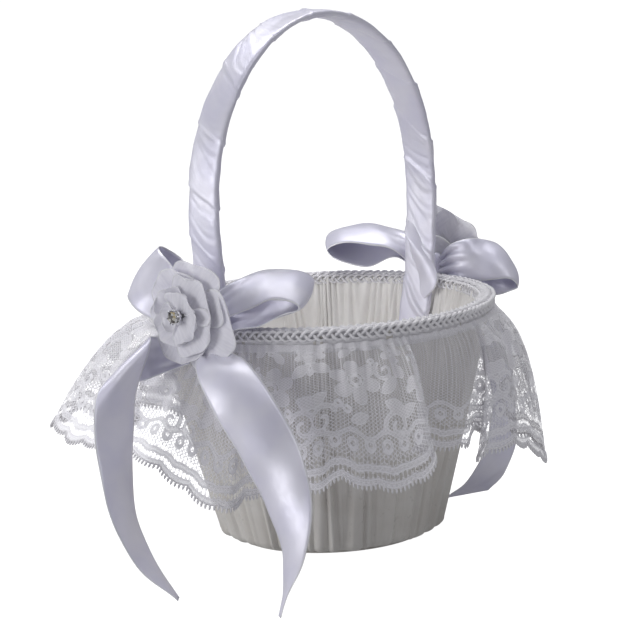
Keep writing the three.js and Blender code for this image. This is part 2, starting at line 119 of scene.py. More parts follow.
def make_mesh(name, points, quads, cloth=None, fields=None, smooth=True):
    """A mesh object from points in millimetres; cloth holds each point's place on its cloth."""
    mesh = bpy.data.meshes.new(name)
    quads = np.asarray(quads, dtype=np.int32)
    mesh.vertices.add(len(points))
    mesh.vertices.foreach_set("co", (np.asarray(points) * MM).astype(np.float32).ravel())
    mesh.loops.add(quads.size)
    mesh.loops.foreach_set("vertex_index", quads.ravel())
    mesh.polygons.add(len(quads))
    size = quads.shape[1]
    mesh.polygons.foreach_set("loop_start", np.arange(len(quads), dtype=np.int32) * size)
    mesh.polygons.foreach_set("loop_total", np.full(len(quads), size, dtype=np.int32))
    mesh.polygons.foreach_set("use_smooth", np.full(len(quads), smooth))
    if cloth is not None:
        layer = mesh.attributes.new("cloth", "FLOAT_VECTOR", "POINT")
        layer.data.foreach_set("vector", np.asarray(cloth, dtype=np.float32).ravel())
    for key, values in (fields or {}).items():
        layer = mesh.attributes.new(key, "FLOAT", "POINT")
        layer.data.foreach_set("value", np.asarray(values, dtype=np.float32).ravel())
    mesh.update(calc_edges=True)
    mesh.validate()
    made = bpy.data.objects.new(name, mesh)
    bpy.context.scene.collection.objects.link(made)
    return made


def grid_quads(rows, columns, wrap=False, start=0, flip=False):
    """Quads over a grid of points, row after row; a wrapped grid joins its last row to its first."""
    i, j = np.meshgrid(np.arange(rows if wrap else rows - 1), np.arange(columns - 1), indexing="ij")
    following = (i + 1) % rows
    corners = [i * columns + j, following * columns + j, following * columns + j + 1, i * columns + j + 1]
    quads = np.stack([c.ravel() for c in corners], axis=1) + start
    return quads[:, ::-1] if flip else quads


def normals(grid, wrap=False):
    along = np.roll(grid, -1, 0) - np.roll(grid, 1, 0) if wrap else np.gradient(grid, axis=0)
    return unit(np.cross(along, np.gradient(grid, axis=1)))


def slab(name, grid, thickness, wrap=False, cloth=None):
    """A thin closed sheet over a grid of points."""
    rows, columns = grid.shape[:2]
    out = normals(grid, wrap) * thickness / 2
    points = np.concatenate([(grid + out).reshape(-1, 3), (grid - out).reshape(-1, 3)])
    count = rows * columns
    quads = [grid_quads(rows, columns, wrap), grid_quads(rows, columns, wrap, count, flip=True)]
    down = np.arange(rows if wrap else rows - 1)
    following = (down + 1) % rows
    edges = [(down * columns + column, following * columns + column, turn)
             for column, turn in ((0, 1), (columns - 1, -1))]
    if not wrap:
        along = np.arange(columns - 1)
        edges += [(row * columns + along, row * columns + along + 1, turn)
                  for row, turn in ((0, -1), (rows - 1, 1))]
    for a, b, turn in edges:
        quads.append(np.stack([a, a + count, b + count, b], axis=1)[:, ::turn])
    both = None if cloth is None else np.concatenate([cloth.reshape(-1, 3)] * 2)
    return make_mesh(name, points, np.concatenate(quads), both)


def turned_mesh(name, profile, steps, centre=0, axes=np.eye(3)):
    """A turned shape round the z axis, from the (radius, height) points of its outline."""
    radius, height = np.array(profile, dtype=float).T
    grid = turned_grid(round_steps(steps), np.maximum(radius, 0.01), height)
    points = centre + grid.reshape(-1, 3) @ axes
    return make_mesh(name, points, grid_quads(steps, len(profile), wrap=True))


def sweep(path, radius, sides=6, closed=True, up=(0, 0, 1)):
    """Points and quads of a round cord along a path."""
    ahead = unit(np.roll(path, -1, 0) - np.roll(path, 1, 0) if closed else np.gradient(path, axis=0))
    side = unit(np.cross(ahead, up))
    top = np.cross(side, ahead)
    turn = round_steps(sides) * TAU
    size = np.broadcast_to(radius, len(path))[:, None, None]
    grid = path[:, None] + (side[:, None] * np.cos(turn) + top[:, None] * np.sin(turn)) * size
    count = len(path)
    i, j = np.meshgrid(np.arange(count if closed else count - 1), np.arange(sides), indexing="ij")
    ring, following = i * sides, (i + 1) % count * sides
    next_j = (j + 1) % sides
    corners = [ring + j, ring + next_j, following + next_j, following + j]
    return grid.reshape(-1, 3), np.stack([c.ravel() for c in corners], axis=1)


def merge(parts):
    """One set of points and quads from several."""
    points, quads, start = [], [], 0
    for some, faces in parts:
        points.append(some)
        quads.append(faces + start)
        start += len(some)
    return np.concatenate(points), np.concatenate(quads)


def smooth_path(points, steps):
    """A Catmull-Rom curve through rows of numbers."""
    points = np.asarray(points, dtype=float)
    p = np.vstack([2 * points[0] - points[1], points, 2 * points[-1] - points[-2]])
    t = np.linspace(0, 1, steps, endpoint=False)[:, None]
    out = []
    for i in range(1, len(p) - 2):
        a, b, c, d = p[i - 1:i + 3]
        out.append(0.5 * (2 * b + (c - a) * t + (2 * a - 5 * b + 4 * c - d) * t ** 2
                          + (3 * b - a - 3 * c + d) * t ** 3))
    out.append(points[-1:])
    return np.vstack(out)


def lengths_along(path):
    return np.concatenate([[0], np.cumsum(np.linalg.norm(np.diff(path, axis=0), axis=1))])


def at_lengths(rows, reach, at):
    """Rows of numbers, known at the lengths in reach, worked out at other lengths."""
    return np.stack([np.interp(at, reach, column) for column in rows.T], axis=1)


def even_steps(path, step):
    """The path again at even steps of about that length."""
    reach = lengths_along(path)
    return at_lengths(path, reach, np.linspace(0, reach[-1], int(round(reach[-1] / step)) + 1))


def ripple(x, seed, waves):
    """Smooth irregular wave of x: a seeded sum of sines, with (count per unit, height) pairs."""
    random = np.random.default_rng(seed)
    total = np.zeros_like(np.asarray(x, dtype=float))
    for count, height in waves:
        total = total + height * np.sin(TAU * count * x + random.uniform(0, TAU))
    return total


def smoothstep(x, low, high):
    t = np.clip((x - low) / (high - low), 0, 1)
    return t * t * (3 - 2 * t)


# ---- Materials ----

class Surface:
    """A material with one Principled shader, and short calls for the nodes that feed it."""

    def __init__(self, name, **values):
        self.material = bpy.data.materials.new(name)
        self.material.use_nodes = True
        self.nodes = self.material.node_tree.nodes
        self.links = self.material.node_tree.links
        self.shader = self.nodes["Principled BSDF"]
        for socket, value in values.items():
            whole = (*value, 1) if isinstance(value, tuple) else value
            self.shader.inputs[socket.replace("_", " ")].default_value = whole

    def add(self, kind, inputs=(), **settings):
        node = self.nodes.new(kind)
        for key, value in settings.items():
            setattr(node, key, value)
        for key, value in dict(inputs).items():
            if isinstance(value, bpy.types.NodeSocket):
                self.links.new(value, node.inputs[key])
            else:
                node.inputs[key].default_value = value
        return node

    def math(self, operation, *values):
        return self.add("ShaderNodeMath", dict(enumerate(values)), operation=operation).outputs[0]

    def times(self, value, factor):
        return self.math("MULTIPLY", value, factor)

    def sine(self, value, factor):
        """Sine of value times factor."""
        return self.math("SINE", self.times(value, factor))

    def most(self, first, *others):
        """The largest of several values."""
        for other in others:
            first = self.math("MAXIMUM", first, other)
        return first

    def ramp(self, value, low, high, start=0.0, end=1.0):
        """value from low..high to start..end, smooth and clamped."""
        node = self.add("ShaderNodeMapRange", {
            "Value": value, "From Min": low, "From Max": high, "To Min": start, "To Max": end,
        }, interpolation_type="SMOOTHSTEP")
        return node.outputs["Result"]

    def noise(self, vector, scale, detail=2.0):
        node = self.add("ShaderNodeTexNoise", {"Vector": vector, "Scale": scale, "Detail": detail})
        return node.outputs["Fac"]

    def attribute(self, name, output="Fac"):
        return self.add("ShaderNodeAttribute", attribute_name=name).outputs[output]

    def axes(self, vector):
        """The three parts of a vector."""
        return self.add("ShaderNodeSeparateXYZ", {"Vector": vector}).outputs

    def cloth(self):
        """The point's place on its cloth, in mm: along it, across it, and a third value."""
        return self.axes(self.attribute("cloth", "Vector"))

    def place(self):
        return self.add("ShaderNodeTexCoord").outputs["Object"]

    def mix(self, factor, first, second):
        node = self.add("ShaderNodeMix", data_type="RGBA")
        self.links.new(factor, node.inputs["Factor"])
        for index, color in ((6, first), (7, second)):
            if isinstance(color, bpy.types.NodeSocket):
                self.links.new(color, node.inputs[index])
            else:
                node.inputs[index].default_value = (*color, 1)
        return node.outputs[2]

    def feed(self, socket, value):
        self.links.new(value, self.shader.inputs[socket])

    def bump(self, height, strength, distance, under=None):
        inputs = {"Height": height, "Strength": strength, "Distance": distance}
        if under is not None:
            inputs["Normal"] = under
        return self.add("ShaderNodeBump", inputs).outputs["Normal"]


def satin(name, light, shade, roughness):
    """Woven satin: fine weft lines, soft colour drift and small creases."""
    s = Surface(name, Base_Color=light, Roughness=roughness, Specular_IOR_Level=0.6,
                Sheen_Weight=0.2, Sheen_Roughness=0.4, Anisotropic=0.45)
    place = s.place()
    weave = s.add("ShaderNodeTexWave", {"Vector": place, "Scale": 900, "Distortion": 1.5, "Detail": 1},
                  bands_direction="Z").outputs["Fac"]
    s.feed("Base Color", s.mix(s.ramp(s.noise(place, 55, 3), 0.35, 0.65), light, shade))
    s.feed("Roughness", s.ramp(s.noise(place, 240, 3), 0.3, 0.7, roughness - 0.05, roughness + 0.08))
    creases = s.bump(s.noise(place, 110), 0.25, 0.002)
    s.feed("Normal", s.bump(weave, 0.12, 0.00006, creases))
    return s.material


def ribbon_satin():
    """Satin ribbon: lengthwise sheen, a fine weave and a bright woven edge."""
    light, shade, selvedge = (0.8, 0.79, 0.89), (0.75, 0.74, 0.87), (0.93, 0.93, 0.97)
    s = Surface("ribbon_satin", Base_Color=light, Metallic=0.22, Roughness=0.38,
                Specular_IOR_Level=0.5, Sheen_Weight=0.15, Sheen_Roughness=0.35, Anisotropic=0.5)
    along, across, _ = s.cloth()
    edge = s.ramp(s.math("ABSOLUTE", across), 11.6, 12.1)
    place = s.place()
    color = s.mix(s.ramp(s.noise(place, 60), 0.35, 0.65), light, shade)
    s.feed("Base Color", s.mix(edge, color, selvedge))
    s.feed("Roughness", s.ramp(s.noise(place, 300, 3), 0.3, 0.7, 0.34, 0.46))
    weave = s.math("ADD", s.sine(along, 14.0), s.times(s.sine(across, 9.0), 0.4))
    s.feed("Normal", s.bump(weave, 0.1, 0.00005, s.bump(s.noise(place, 90), 0.12, 0.0015)))
    return s.material


def lace_net():
    """Lace: threads of the net, dense motifs with raised cord outlines, open ladder lines."""
    s = Surface("lace_net", Base_Color=(0.86, 0.86, 0.88), Roughness=0.75,
                Specular_IOR_Level=0.3, Sheen_Weight=0.3, Sheen_Roughness=0.5)
    along, up, _ = s.cloth()
    motif, slot = s.attribute("motif"), s.attribute("slot")

    def threads(value, pitch, low, high, start, end):
        """Strength of parallel threads, one each pitch of value: start on the thread, end beside it."""
        return s.ramp(s.math("ABSOLUTE", s.sine(value, math.pi / pitch)), low, high, start, end)

    slants = [s.math("ADD", s.times(along, 1 / 2.2), s.times(up, sign / 1.5)) for sign in (1, -1)]
    net = s.most(*[threads(slant, 1, 0.2, 0.42, 0.95, 0.0) for slant in slants], 0.06)
    dense = s.times(s.ramp(motif, 0.0, 0.25, 1.0, 0.0), threads(up, 0.55, 0.1, 0.5, 0.5, 0.8))
    cord = s.ramp(s.math("ABSOLUTE", s.math("SUBTRACT", motif, 0.05)), 0.15, 0.45, 0.95, 0.0)
    bars = threads(along, 1.9, 0.2, 0.4, 1.0, 0.0)
    closed = s.ramp(slot, -0.12, 0.12)
    cover = s.most(s.times(s.most(net, dense, cord), closed), s.times(bars, 0.8))
    s.feed("Alpha", s.times(cover, s.most(closed, bars)))
    s.feed("Normal", s.bump(s.math("ADD", cord, s.times(dense, 0.5)), 0.5, 0.0003))
    s.feed("Base Color", s.mix(s.noise(s.place(), 70), (0.88, 0.87, 0.92), (0.94, 0.93, 0.97)))
    return s.material


def cotton_cord():
    """Twisted cotton cord of the braid, with the lace's stitched edges."""
    s = Surface("braid_cord", Base_Color=(0.86, 0.855, 0.85), Roughness=0.55,
                Specular_IOR_Level=0.4, Sheen_Weight=0.4, Sheen_Roughness=0.4)
    place = s.place()
    twist = s.add("ShaderNodeTexWave", {"Vector": place, "Scale": 700, "Distortion": 3, "Detail": 2},
                  bands_direction="DIAGONAL").outputs["Fac"]
    s.feed("Base Color", s.mix(s.noise(place, 120), (0.84, 0.83, 0.86), (0.9, 0.89, 0.92)))
    s.feed("Normal", s.bump(twist, 0.35, 0.00015))
    return s.material


def petal_cloth():
    """Sheer petal cloth: soft and faintly see-through, with radial veins and a denser edge that is painted
    lighter as a highlight.
    """
    s = Surface("petal_organza", Base_Color=(0.88, 0.88, 0.92), Roughness=0.6,
                Specular_IOR_Level=0.3, Sheen_Weight=0.8, Sheen_Roughness=0.5)
    along, across, edge = s.cloth()
    stretched = s.add("ShaderNodeCombineXYZ", {"X": s.times(along, 0.12), "Y": s.times(across, 0.8)})
    veins = s.noise(stretched.outputs[0], 1.0, 3.0)
    weave = s.times(s.sine(along, 12), s.sine(across, 12))
    # The edge is made more opaque, and painted lighter as a painted highlight.
    edge_and_highlight = s.ramp(edge, 0.93, 1.0, 0.0, 0.8)
    color = s.mix(s.ramp(veins, 0.3, 0.7), (0.95, 0.94, 1.0), (0.92, 0.91, 0.99))
    s.feed("Base Color", s.mix(edge_and_highlight, color, (0.97, 0.97, 1.0)))
    s.feed("Alpha", s.most(s.ramp(veins, 0.2, 0.8, 0.7, 0.62), edge_and_highlight))
    s.feed("Normal", s.bump(weave, 0.08, 0.00005, s.bump(veins, 0.05, 0.0005)))
    return s.material


def felt():
    s = Surface("felt", Base_Color=(0.86, 0.86, 0.87), Roughness=0.95, Sheen_Weight=0.5)
    s.feed("Normal", s.bump(s.noise(s.place(), 900, 4), 0.6, 0.0003))
    return s.material


def moulded_plastic(name, color):
    s = Surface(name, Base_Color=color, Roughness=0.5)
    grain = s.noise(s.place(), 800)
    s.feed("Roughness", s.ramp(grain, 0.3, 0.7, 0.42, 0.58))
    s.feed("Normal", s.bump(grain, 0.1, 0.0002))
    return s.material


def metal(name, color, roughness):
    s = Surface(name, Base_Color=color, Metallic=1.0, Roughness=roughness)
    s.feed("Roughness", s.ramp(s.noise(s.place(), 500), 0.3, 0.7, roughness, roughness + 0.12))
    return s.material


def crystal():
    """Cut glass over foil: bright, with dark and golden facets painted in as reflections, changing from
    facet to facet.
    """
    s = Surface("crystal", Base_Color=(0.98, 0.98, 1.0), Roughness=0.02, IOR=1.6,
                Transmission_Weight=0.5, Specular_IOR_Level=0.9, Coat_Weight=0.6)
    cells = s.add("ShaderNodeTexVoronoi", {"Vector": s.place(), "Scale": 850}).outputs["Color"]
    first, second, _ = s.axes(cells)
    # Painted reflections: dark and golden facets painted into the base colour.
    painted_glints = s.mix(s.ramp(first, 0.36, 0.46), (1.0, 1.0, 1.0), (0.08, 0.07, 0.06))
    s.feed("Base Color", s.mix(s.ramp(second, 0.55, 0.7), painted_glints, (0.85, 0.7, 0.4)))
    return s.material


def studio_paper():
    """White studio paper, lit to white behind the object."""
    s = Surface("studio_paper", Base_Color=(0.42, 0.42, 0.43), Roughness=0.9, Emission_Color=(1, 1, 1))
    seen = s.add("ShaderNodeLightPath").outputs["Is Camera Ray"]
    s.feed("Emission Strength", s.ramp(seen, 0, 1, 0.14, 1.0))
    return s.material


# The cover and base disc are the lining's ivory satin, painted darker here as shade.
SHADED_COVER_SATIN = satin("cover_satin_painted_shade", (0.73, 0.71, 0.68), (0.67, 0.645, 0.61), 0.32)
SATIN_LINING = satin("lining_satin", (0.96, 0.945, 0.925), (0.93, 0.91, 0.885), 0.34)
RIBBON = ribbon_satin()
LACE = lace_net()
CORD = cotton_cord()
PETAL = petal_cloth()
FELT = felt()
TUB = moulded_plastic("tub_plastic", (0.93, 0.92, 0.89))
CORE = moulded_plastic("core_plastic", (0.86, 0.84, 0.8))
BRASS = metal("rivet_brass", (0.79, 0.66, 0.35), 0.25)
SILVER = metal("claw_silver", (0.82, 0.82, 0.84), 0.12)
CRYSTAL = crystal()


def finish_piece(piece, material, slot, *nodes):
    """Gives a piece its material, rides it on the one body and lets it stand for CAD nodes."""
    piece.data.materials.clear()
    piece.data.materials.append(material)
    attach(piece, "root")
    if nodes:
        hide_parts(*nodes)


# ---- Tub covers: gathered satin outside and inside ----

AROUND = 1440


def gathers(turns, height, count, seed, lean, roundness=0.75):
    """Pleats round the tub, from 0 in the creases to 1 on the folds, wandering with height."""
    x = turns * count
    x = x + ripple(turns, seed, [(3, 0.5), (7, 0.45), (13, 0.35), (23, 0.3)])
    x = x + height * ripple(turns, seed + 1, [(5, 0.45), (11, 0.4), (17, 0.3)]) * lean
    fold = np.abs(np.sin(math.pi * x)) ** roundness
    size = 0.65 + 0.35 * ripple(np.floor(x) / 7.3, seed + 2, [(1.3, 0.6), (3.1, 0.5)])
    return fold * size


def outer_cover():
    """Satin gathered in upright pleats, rolling round the bottom corner to its turned-in hem."""
    wall_bottom, hem_radius, corner = 6.0, 34.0, 5.5
    hem_height = BASE_THICKNESS + 0.6
    profile = [(COVER_BASE + COVER_SLOPE * z, z) for z in np.linspace(COVER_TOP, wall_bottom, 70)]
    centre = COVER_BASE + COVER_SLOPE * wall_bottom - corner
    for angle in np.linspace(0, math.pi / 2, 15)[1:]:
        height = wall_bottom - (wall_bottom - hem_height) * math.sin(angle)
        profile.append((centre + corner * math.cos(angle), height))
    profile += [(radius, hem_height) for radius in np.linspace(centre, hem_radius, 6)[1:]]
    wall, level = np.array(profile).T
    turns = round_steps(AROUND)
    height = level / COVER_TOP
    fine = gathers(turns, height, 78, 3, 1.2, 1.2)
    broad = gathers(turns, height, 38, 8, 1.5, 1.5)
    top = smoothstep(height, 0.55, 1.0)
    slack = 0.35 * ripple(turns + 0.06 * height, 21, [(4, 1), (9, 0.7)]) * (1 - top)
    depth = fine * (0.35 + 0.5 * top) + 2.5 * broad * (1 - 0.6 * top) + slack
    depth = depth * smoothstep(wall, hem_radius, centre + 2) - 0.3
    piece = slab("satin_cover", turned_grid(turns, wall + depth, level), 0.3, wrap=True)
    finish_piece(piece, SHADED_COVER_SATIN, "ivory_satin", "outer_cover")


def lining():
    """Gathered lining: tight puckers under the braid that open to soft folds lower down."""
    bottom = PAD_BOTTOM + 1
    level = np.linspace(bottom, WALL_TOP - 0.4, 64)
    turns = round_steps(AROUND)
    height = (level - bottom) / (WALL_TOP - bottom)
    fine = gathers(turns, height, 96, 31, 2.6, 1.3)
    broad = gathers(turns, height, 36, 36, 4.2, 1.1)
    top = smoothstep(height, 0.6, 1.0)
    depth = 1.2 * fine * (0.08 + 0.92 * top) + 3.4 * broad * (1 - 0.55 * top)
    depth = depth * smoothstep(height, 0.0, 0.12) - 0.2
    wall = LINING_BASE + LINING_SLOPE * level
    piece = slab("satin_lining", turned_grid(turns, wall - depth, level), 0.3, wrap=True)
    finish_piece(piece, SATIN_LINING, "ivory_satin", "lining")


def lining_floor():
    """Padded disc on the basket floor, with the satin drawn in at its edge."""
    turns = round_steps(360)
    reach = np.linspace(0.02, 1, 40)
    crown = PAD_TOP - (PAD_TOP - PAD_BOTTOM - 0.7) * reach ** 6
    pucker = 0.35 * gathers(turns, reach, 60, 51, 0.5) * smoothstep(reach, 0.6, 0.95)
    grid = turned_grid(turns, PAD_RADIUS * reach, crown - pucker - 0.3)
    piece = slab("satin_floor", grid, 0.5, wrap=True)
    finish_piece(piece, SATIN_LINING, "ivory_satin", "lining_floor")


def base_disc():
    """Satin-covered card under the tub, from its top to its underside, with a pinhole in its middle."""
    top, edge = BASE_THICKNESS, BASE_THICKNESS / 2
    profile = [(1, top), (20, top), (36, top), (BASE_RADIUS - 0.6, top), (BASE_RADIUS, edge * 1.4),
               (BASE_RADIUS, edge * 0.6), (BASE_RADIUS - 0.5, 0), (36, 0), (20, 0), (1, 0)]
    finish_piece(turned_mesh("satin_base", profile, 180), SHADED_COVER_SATIN, "ivory_satin", "base_disc")


outer_cover()
lining()
lining_floor()
base_disc()


# ---- Rim trim: plaited braid, folded tape and lace header ----

STITCHES = 129


def plait(mean_radius, mean_height, lateral, cord_radius, tilt, seed, swing=0.0):
    """Three doubled strands plaited round the rim; tilt leans the band with the wall, and swing
    lays it flat over the rim."""
    turns = round_steps(STITCHES * 8)[:, 0]
    parts = []
    for strand in range(3):
        shift = (turns * STITCHES + strand) * TAU / 3
        side = lateral * np.sin(shift)
        lift = 0.45 * np.sin(2 * shift)
        uneven = ripple(turns, seed + strand, [(19, 0.08), (47, 0.08)])
        for twin in (-1, 1):
            offset = twin * cord_radius * 0.95 * np.cos(shift)
            height = mean_height + side + offset * 0.45 + uneven + (lift if swing else 0)
            radius = mean_radius + (0 if swing else lift) + tilt * side + swing * np.sin(shift) + 0.15 * twin
            place = turns + twin * cord_radius * 0.5 / (mean_radius * TAU)
            parts.append(sweep(turned_grid(place, radius, height), cord_radius))
    return parts


def rim_braid():
    """Gimp braid outside, its looped edge inside, and strands that lie over the rim."""
    centre = (RIM_TOP + BRAID_BOTTOM) / 2
    inside = LINING_BASE + LINING_SLOPE * (centre - 0.4)
    crest = (RIM_OUTER - 1.6 + inside) / 2
    parts = plait(RIM_OUTER - 0.8, centre, 2.1, 0.62, 0.15, 60)
    parts += plait(inside - 0.9, centre - 0.2, 1.7, 0.55, 0.25, 70)
    parts += plait(crest, RIM_TOP - 0.6, 0.0, 0.55, 0.0, 80, swing=1.9)
    finish_piece(make_mesh("braid_trim", *merge(parts)), CORD, "braid_trim", "rim_braid")


def rim_tape():
    """The braid's ground: a ribbed tape folded over the rim."""
    outer = RIM_OUTER - 1.9
    inner = LINING_BASE + LINING_SLOPE * RIM_TOP - 0.45
    shoulder, side = RIM_TOP - 0.75, RIM_TOP - 1.5
    profile = [(outer, BRAID_BOTTOM + 0.4), (outer + 0.15, side), (outer - 0.5, shoulder),
               ((outer + inner) / 2, RIM_TOP - 0.6), (inner + 0.5, shoulder), (inner, side),
               (inner - 1.0, BRAID_BOTTOM + 0.6)]
    radius, height = smooth_path(profile, 4).T
    turns = round_steps(1200)
    ribs = 0.12 * np.sin(turns * TAU * 300)
    piece = slab("braid_tape", turned_grid(turns, radius + ribs, height), 0.3, wrap=True)
    finish_piece(piece, CORD, "braid_trim")


def lace_header():
    """The stitched top band of the lace, just under the braid, with small puckers."""
    top = HEM_TOP + 1.6
    height = np.linspace(top, box_mm("lace_binding")[0][2], 8)
    turns = round_steps(1200)
    pucker = 0.3 * gathers(turns, height / top, 120, 81, 0.2)
    radius = COVER_BASE + COVER_SLOPE * height + 0.7 + pucker
    piece = slab("lace_tape", turned_grid(turns, radius, height), 0.25, wrap=True)
    finish_piece(piece, CORD, "lace_net", "lace_binding")


rim_braid()
rim_tape()
lace_header()


# ---- Lace flounce ----

LACE_FALL = 72
LACE_STEP = 1.0
SCALLOP_PITCH = 16
SCALLOP_DEPTH = 2.4
# The hem round the front, from the far left to the right end: crest and valley points of its folds.
FRONT_HEM = [
    (-93, 76, 62), (-99, 65, 59), (-103, 54, 57), (-106, 37, 58), (-106, 19, 57), (-106, 4, 53),
    (-104, -11, 45), (-102, -21, 39), (-99, -27, 36), (-94, -30, 37), (-85, -28, 38), (-75, -29, 39),
    (-68, -35, 38), (-64, -48, 39), (-58, -55, 44), (-53, -63, 42), (-48, -72, 40), (-44, -80, 41),
    (-40, -87, 44), (-35, -90, 51), (-30, -84, 53), (-25, -71, 52), (-18, -66, 51), (-13, -69, 51),
    (-7, -76, 50), (-1, -80, 50), (7, -77, 54), (16, -75, 53), (19, -75, 47), (12, -76, 43),
    (8, -80, 43), (12, -85, 46), (24, -86, 47), (39, -82, 42), (58, -76, 32), (74, -63, 31),
]
# Between these two hem points the net is plain, with its hem bands only.
PLAIN_STRETCH = (FRONT_HEM[20], FRONT_HEM[27])
# How the lace hangs round the rim: angle in degrees, then the reach and drop of the hem and of
# the shoulder, from the stitched top edge.
FLOUNCE_HANG = [
    (0, 25, 62, 3, 18), (25, 26, 60, 8, 10), (50, 26, 58, 14, 6), (90, 33, 52, 18, 4),
    (128, 47, 42, 25, 2), (155, 42, 43, 16, 8), (178, 31, 50, 3, 18), (200, 19, 58, 4, 16),
    (222, 12, 60, 8, 9), (262, 12, 60, 8, 9), (288, 16, 66, 12, 8), (312, 20, 70, 16, 7),
    (340, 24, 64, 9, 12), (360, 25, 62, 3, 18),
]


def hang_at(degrees):
    """Hem reach, hem drop, shoulder reach and shoulder drop at each angle."""
    table = np.array(FLOUNCE_HANG, dtype=float)
    around = np.mod(degrees, 360)
    index = np.clip(np.searchsorted(table[:, 0], around, side="right") - 1, 0, len(table) - 2)
    t = smoothstep(around, table[index, 0], table[index + 1, 0])[..., None]
    return table[index, 1:] + (table[index + 1, 1:] - table[index, 1:]) * t


def back_hem(first, last, top_radius):
    """Round flutes from the end of the front hem to its start, at the back of the basket."""
    start = math.degrees(math.atan2(last[1], last[0])) + 9
    stop = math.degrees(math.atan2(first[1], first[0])) - 9
    flutes = 8
    points = []
    for t in np.linspace(0, 1, flutes * 4):
        degrees = start + (stop - start) * t
        reach, drop = hang_at(degrees)[:2]
        window = min(1, 6 * t, 6 * (1 - t))
        swing = (math.cos(TAU * flutes * t + 0.8 * math.sin(5 * t)) - 0.3) * window
        radius = top_radius + reach + 8 * swing
        angle = math.radians(degrees)
        points.append((radius * math.cos(angle), radius * math.sin(angle), HEM_TOP - drop + 3.5 * swing))
    return points


def smoothed_loop(values, width):
    """Rows of values round a closed loop, averaged with a bell of that many steps."""
    reach = int(width * 3)
    bell = np.exp(-0.5 * (np.arange(-reach, reach + 1) / width) ** 2)
    bell /= bell.sum()
    wrapped = np.concatenate([values[-reach:], values, values[:reach]])
    return np.stack([np.convolve(wrapped[:, i], bell, mode="valid") for i in range(values.shape[1])], axis=1)


def flounce_grid():
    """Points of the hanging lace, one row for each millimetre of hem, their cloth places, and the
    two ends of the plain stretch along the cloth."""
    top_radius = COVER_BASE + COVER_SLOPE * HEM_TOP + 1.9
    hem = FRONT_HEM + back_hem(FRONT_HEM[0], FRONT_HEM[-1], top_radius)
    route = even_steps(smooth_path(hem + hem[:1], 12), LACE_STEP)[:-1]
    soft = smoothed_loop(route, 14)
    turn = np.unwrap(np.arctan2(soft[:, 1], soft[:, 0]))
    steady = turn[0] + np.linspace(0, TAU, len(turn) + 1)[:-1]
    turn = steady + smoothed_loop((turn - steady)[:, None], 12)[:, 0]
    outward = points_of(np.cos(turn), np.sin(turn), 0)
    head = outward * top_radius + (0, 0, HEM_TOP)
    shoulder_reach, shoulder_drop = hang_at(np.degrees(turn))[:, 2:].T
    shoulder = head + outward * shoulder_reach[:, None]
    shoulder[:, 2] -= shoulder_drop
    fall = np.linspace(0, 1, LACE_FALL + 1)
    v = fall[None, :, None]
    curve = (1 - v) ** 2 * head[:, None] + 2 * v * (1 - v) * shoulder[:, None] + v ** 2 * soft[:, None]
    along = np.arange(len(route))[:, None] * LACE_STEP
    small = ripple(along / len(route), 90, [(102, 0.9), (119, 0.8), (73, 0.8)])
    broad = ripple(along / len(route), 95, [(37, 1.0), (29, 0.8), (51, 0.5)])
    depth = small * (0.35 + 0.65 * fall) * (1 - smoothstep(fall, 0.25, 0.75))
    depth = depth + 1.1 * broad * smoothstep(fall, 0.05, 0.4) * (1 - 0.8 * smoothstep(fall, 0.6, 1.0))
    grid = curve + (route - soft)[:, None] * v ** 1.25 + normals(curve, wrap=True) * depth[..., None]
    plain = [np.argmin(np.linalg.norm(route - point, axis=1)) * LACE_STEP for point in PLAIN_STRETCH]
    return grid, points_of(along, LACE_FALL * (1 - fall), 0), plain


def hem_shape(grid, cloth):
    """The grid with scallops: the bottom rows run on past the hem line, most in mid-scallop."""
    length = len(grid) * LACE_STEP
    pitch = length / round(length / SCALLOP_PITCH)
    scallop = np.abs(np.sin(math.pi * cloth[..., 0] / pitch)) ** 0.7 * SCALLOP_DEPTH
    slope = unit(grid[:, -1] - grid[:, -4])
    share = np.clip(1 - cloth[..., 1] / 12, 0, 1)
    return grid + slope[:, None] * (scallop * share)[..., None]


def circle(x, y, at, radius):
    return np.hypot(x - at[0], y - at[1]) - radius


def stroke(x, y, points, width):
    """Distance to a line through points, less half its width; the width tapers to its end."""
    best = np.full_like(x, 1e3)
    points = np.asarray(points, dtype=float)
    for i, (a, b) in enumerate(zip(points[:-1], points[1:])):
        run = b - a
        t = np.clip(((x - a[0]) * run[0] + (y - a[1]) * run[1]) / (run @ run), 0, 1)
        half = width / 2 * (1 - 0.5 * (i + t) / len(points))
        best = np.minimum(best, np.hypot(x - a[0] - t * run[0], y - a[1] - t * run[1]) - half)
    return best


def leaf(x, y, at, length, width, degrees):
    """Pointed oval from its stalk end, leaning by that many degrees."""
    c, s = math.cos(math.radians(degrees)), math.sin(math.radians(degrees))
    u = (x - at[0]) * c + (y - at[1]) * s
    w = -(x - at[0]) * s + (y - at[1]) * c
    middle = u / length
    outline = width / 2 * np.sin(math.pi * np.clip(middle, 0, 1)) ** 0.8
    past = np.maximum(np.maximum(-u, u - length), 0)
    inside = np.abs(w) - outline
    return np.where(past > 0, np.hypot(past, np.abs(w)), inside * 0.8)


def flower(x, y, at, size, petals, spin):
    """Open petals round a ringed centre, with a slit between neighbours."""
    radius = np.hypot(x - at[0], y - at[1])
    angle = np.arctan2(y - at[1], x - at[0]) + spin
    wave = np.abs(np.cos(angle * petals / 2))
    outline = radius - size * (0.42 + 0.58 * wave ** 0.6)
    slit = 0.45 - radius * wave
    heart = radius - size * 0.3
    body = np.maximum(np.maximum(outline, slit) * 0.8, 0.55 - np.abs(heart))
    ring = np.abs(radius - size * 0.2) - 0.45
    return np.minimum(np.where(heart < 0, ring, body), np.maximum(ring, heart))


def spiral(at, radius, turns, start, way):
    t = np.linspace(0, 1, 22)
    angle = start + way * turns * TAU * t
    size = radius * (1 - 0.8 * t)
    return np.stack([at[0] + size * np.cos(angle), at[1] + size * np.sin(angle)], axis=1)


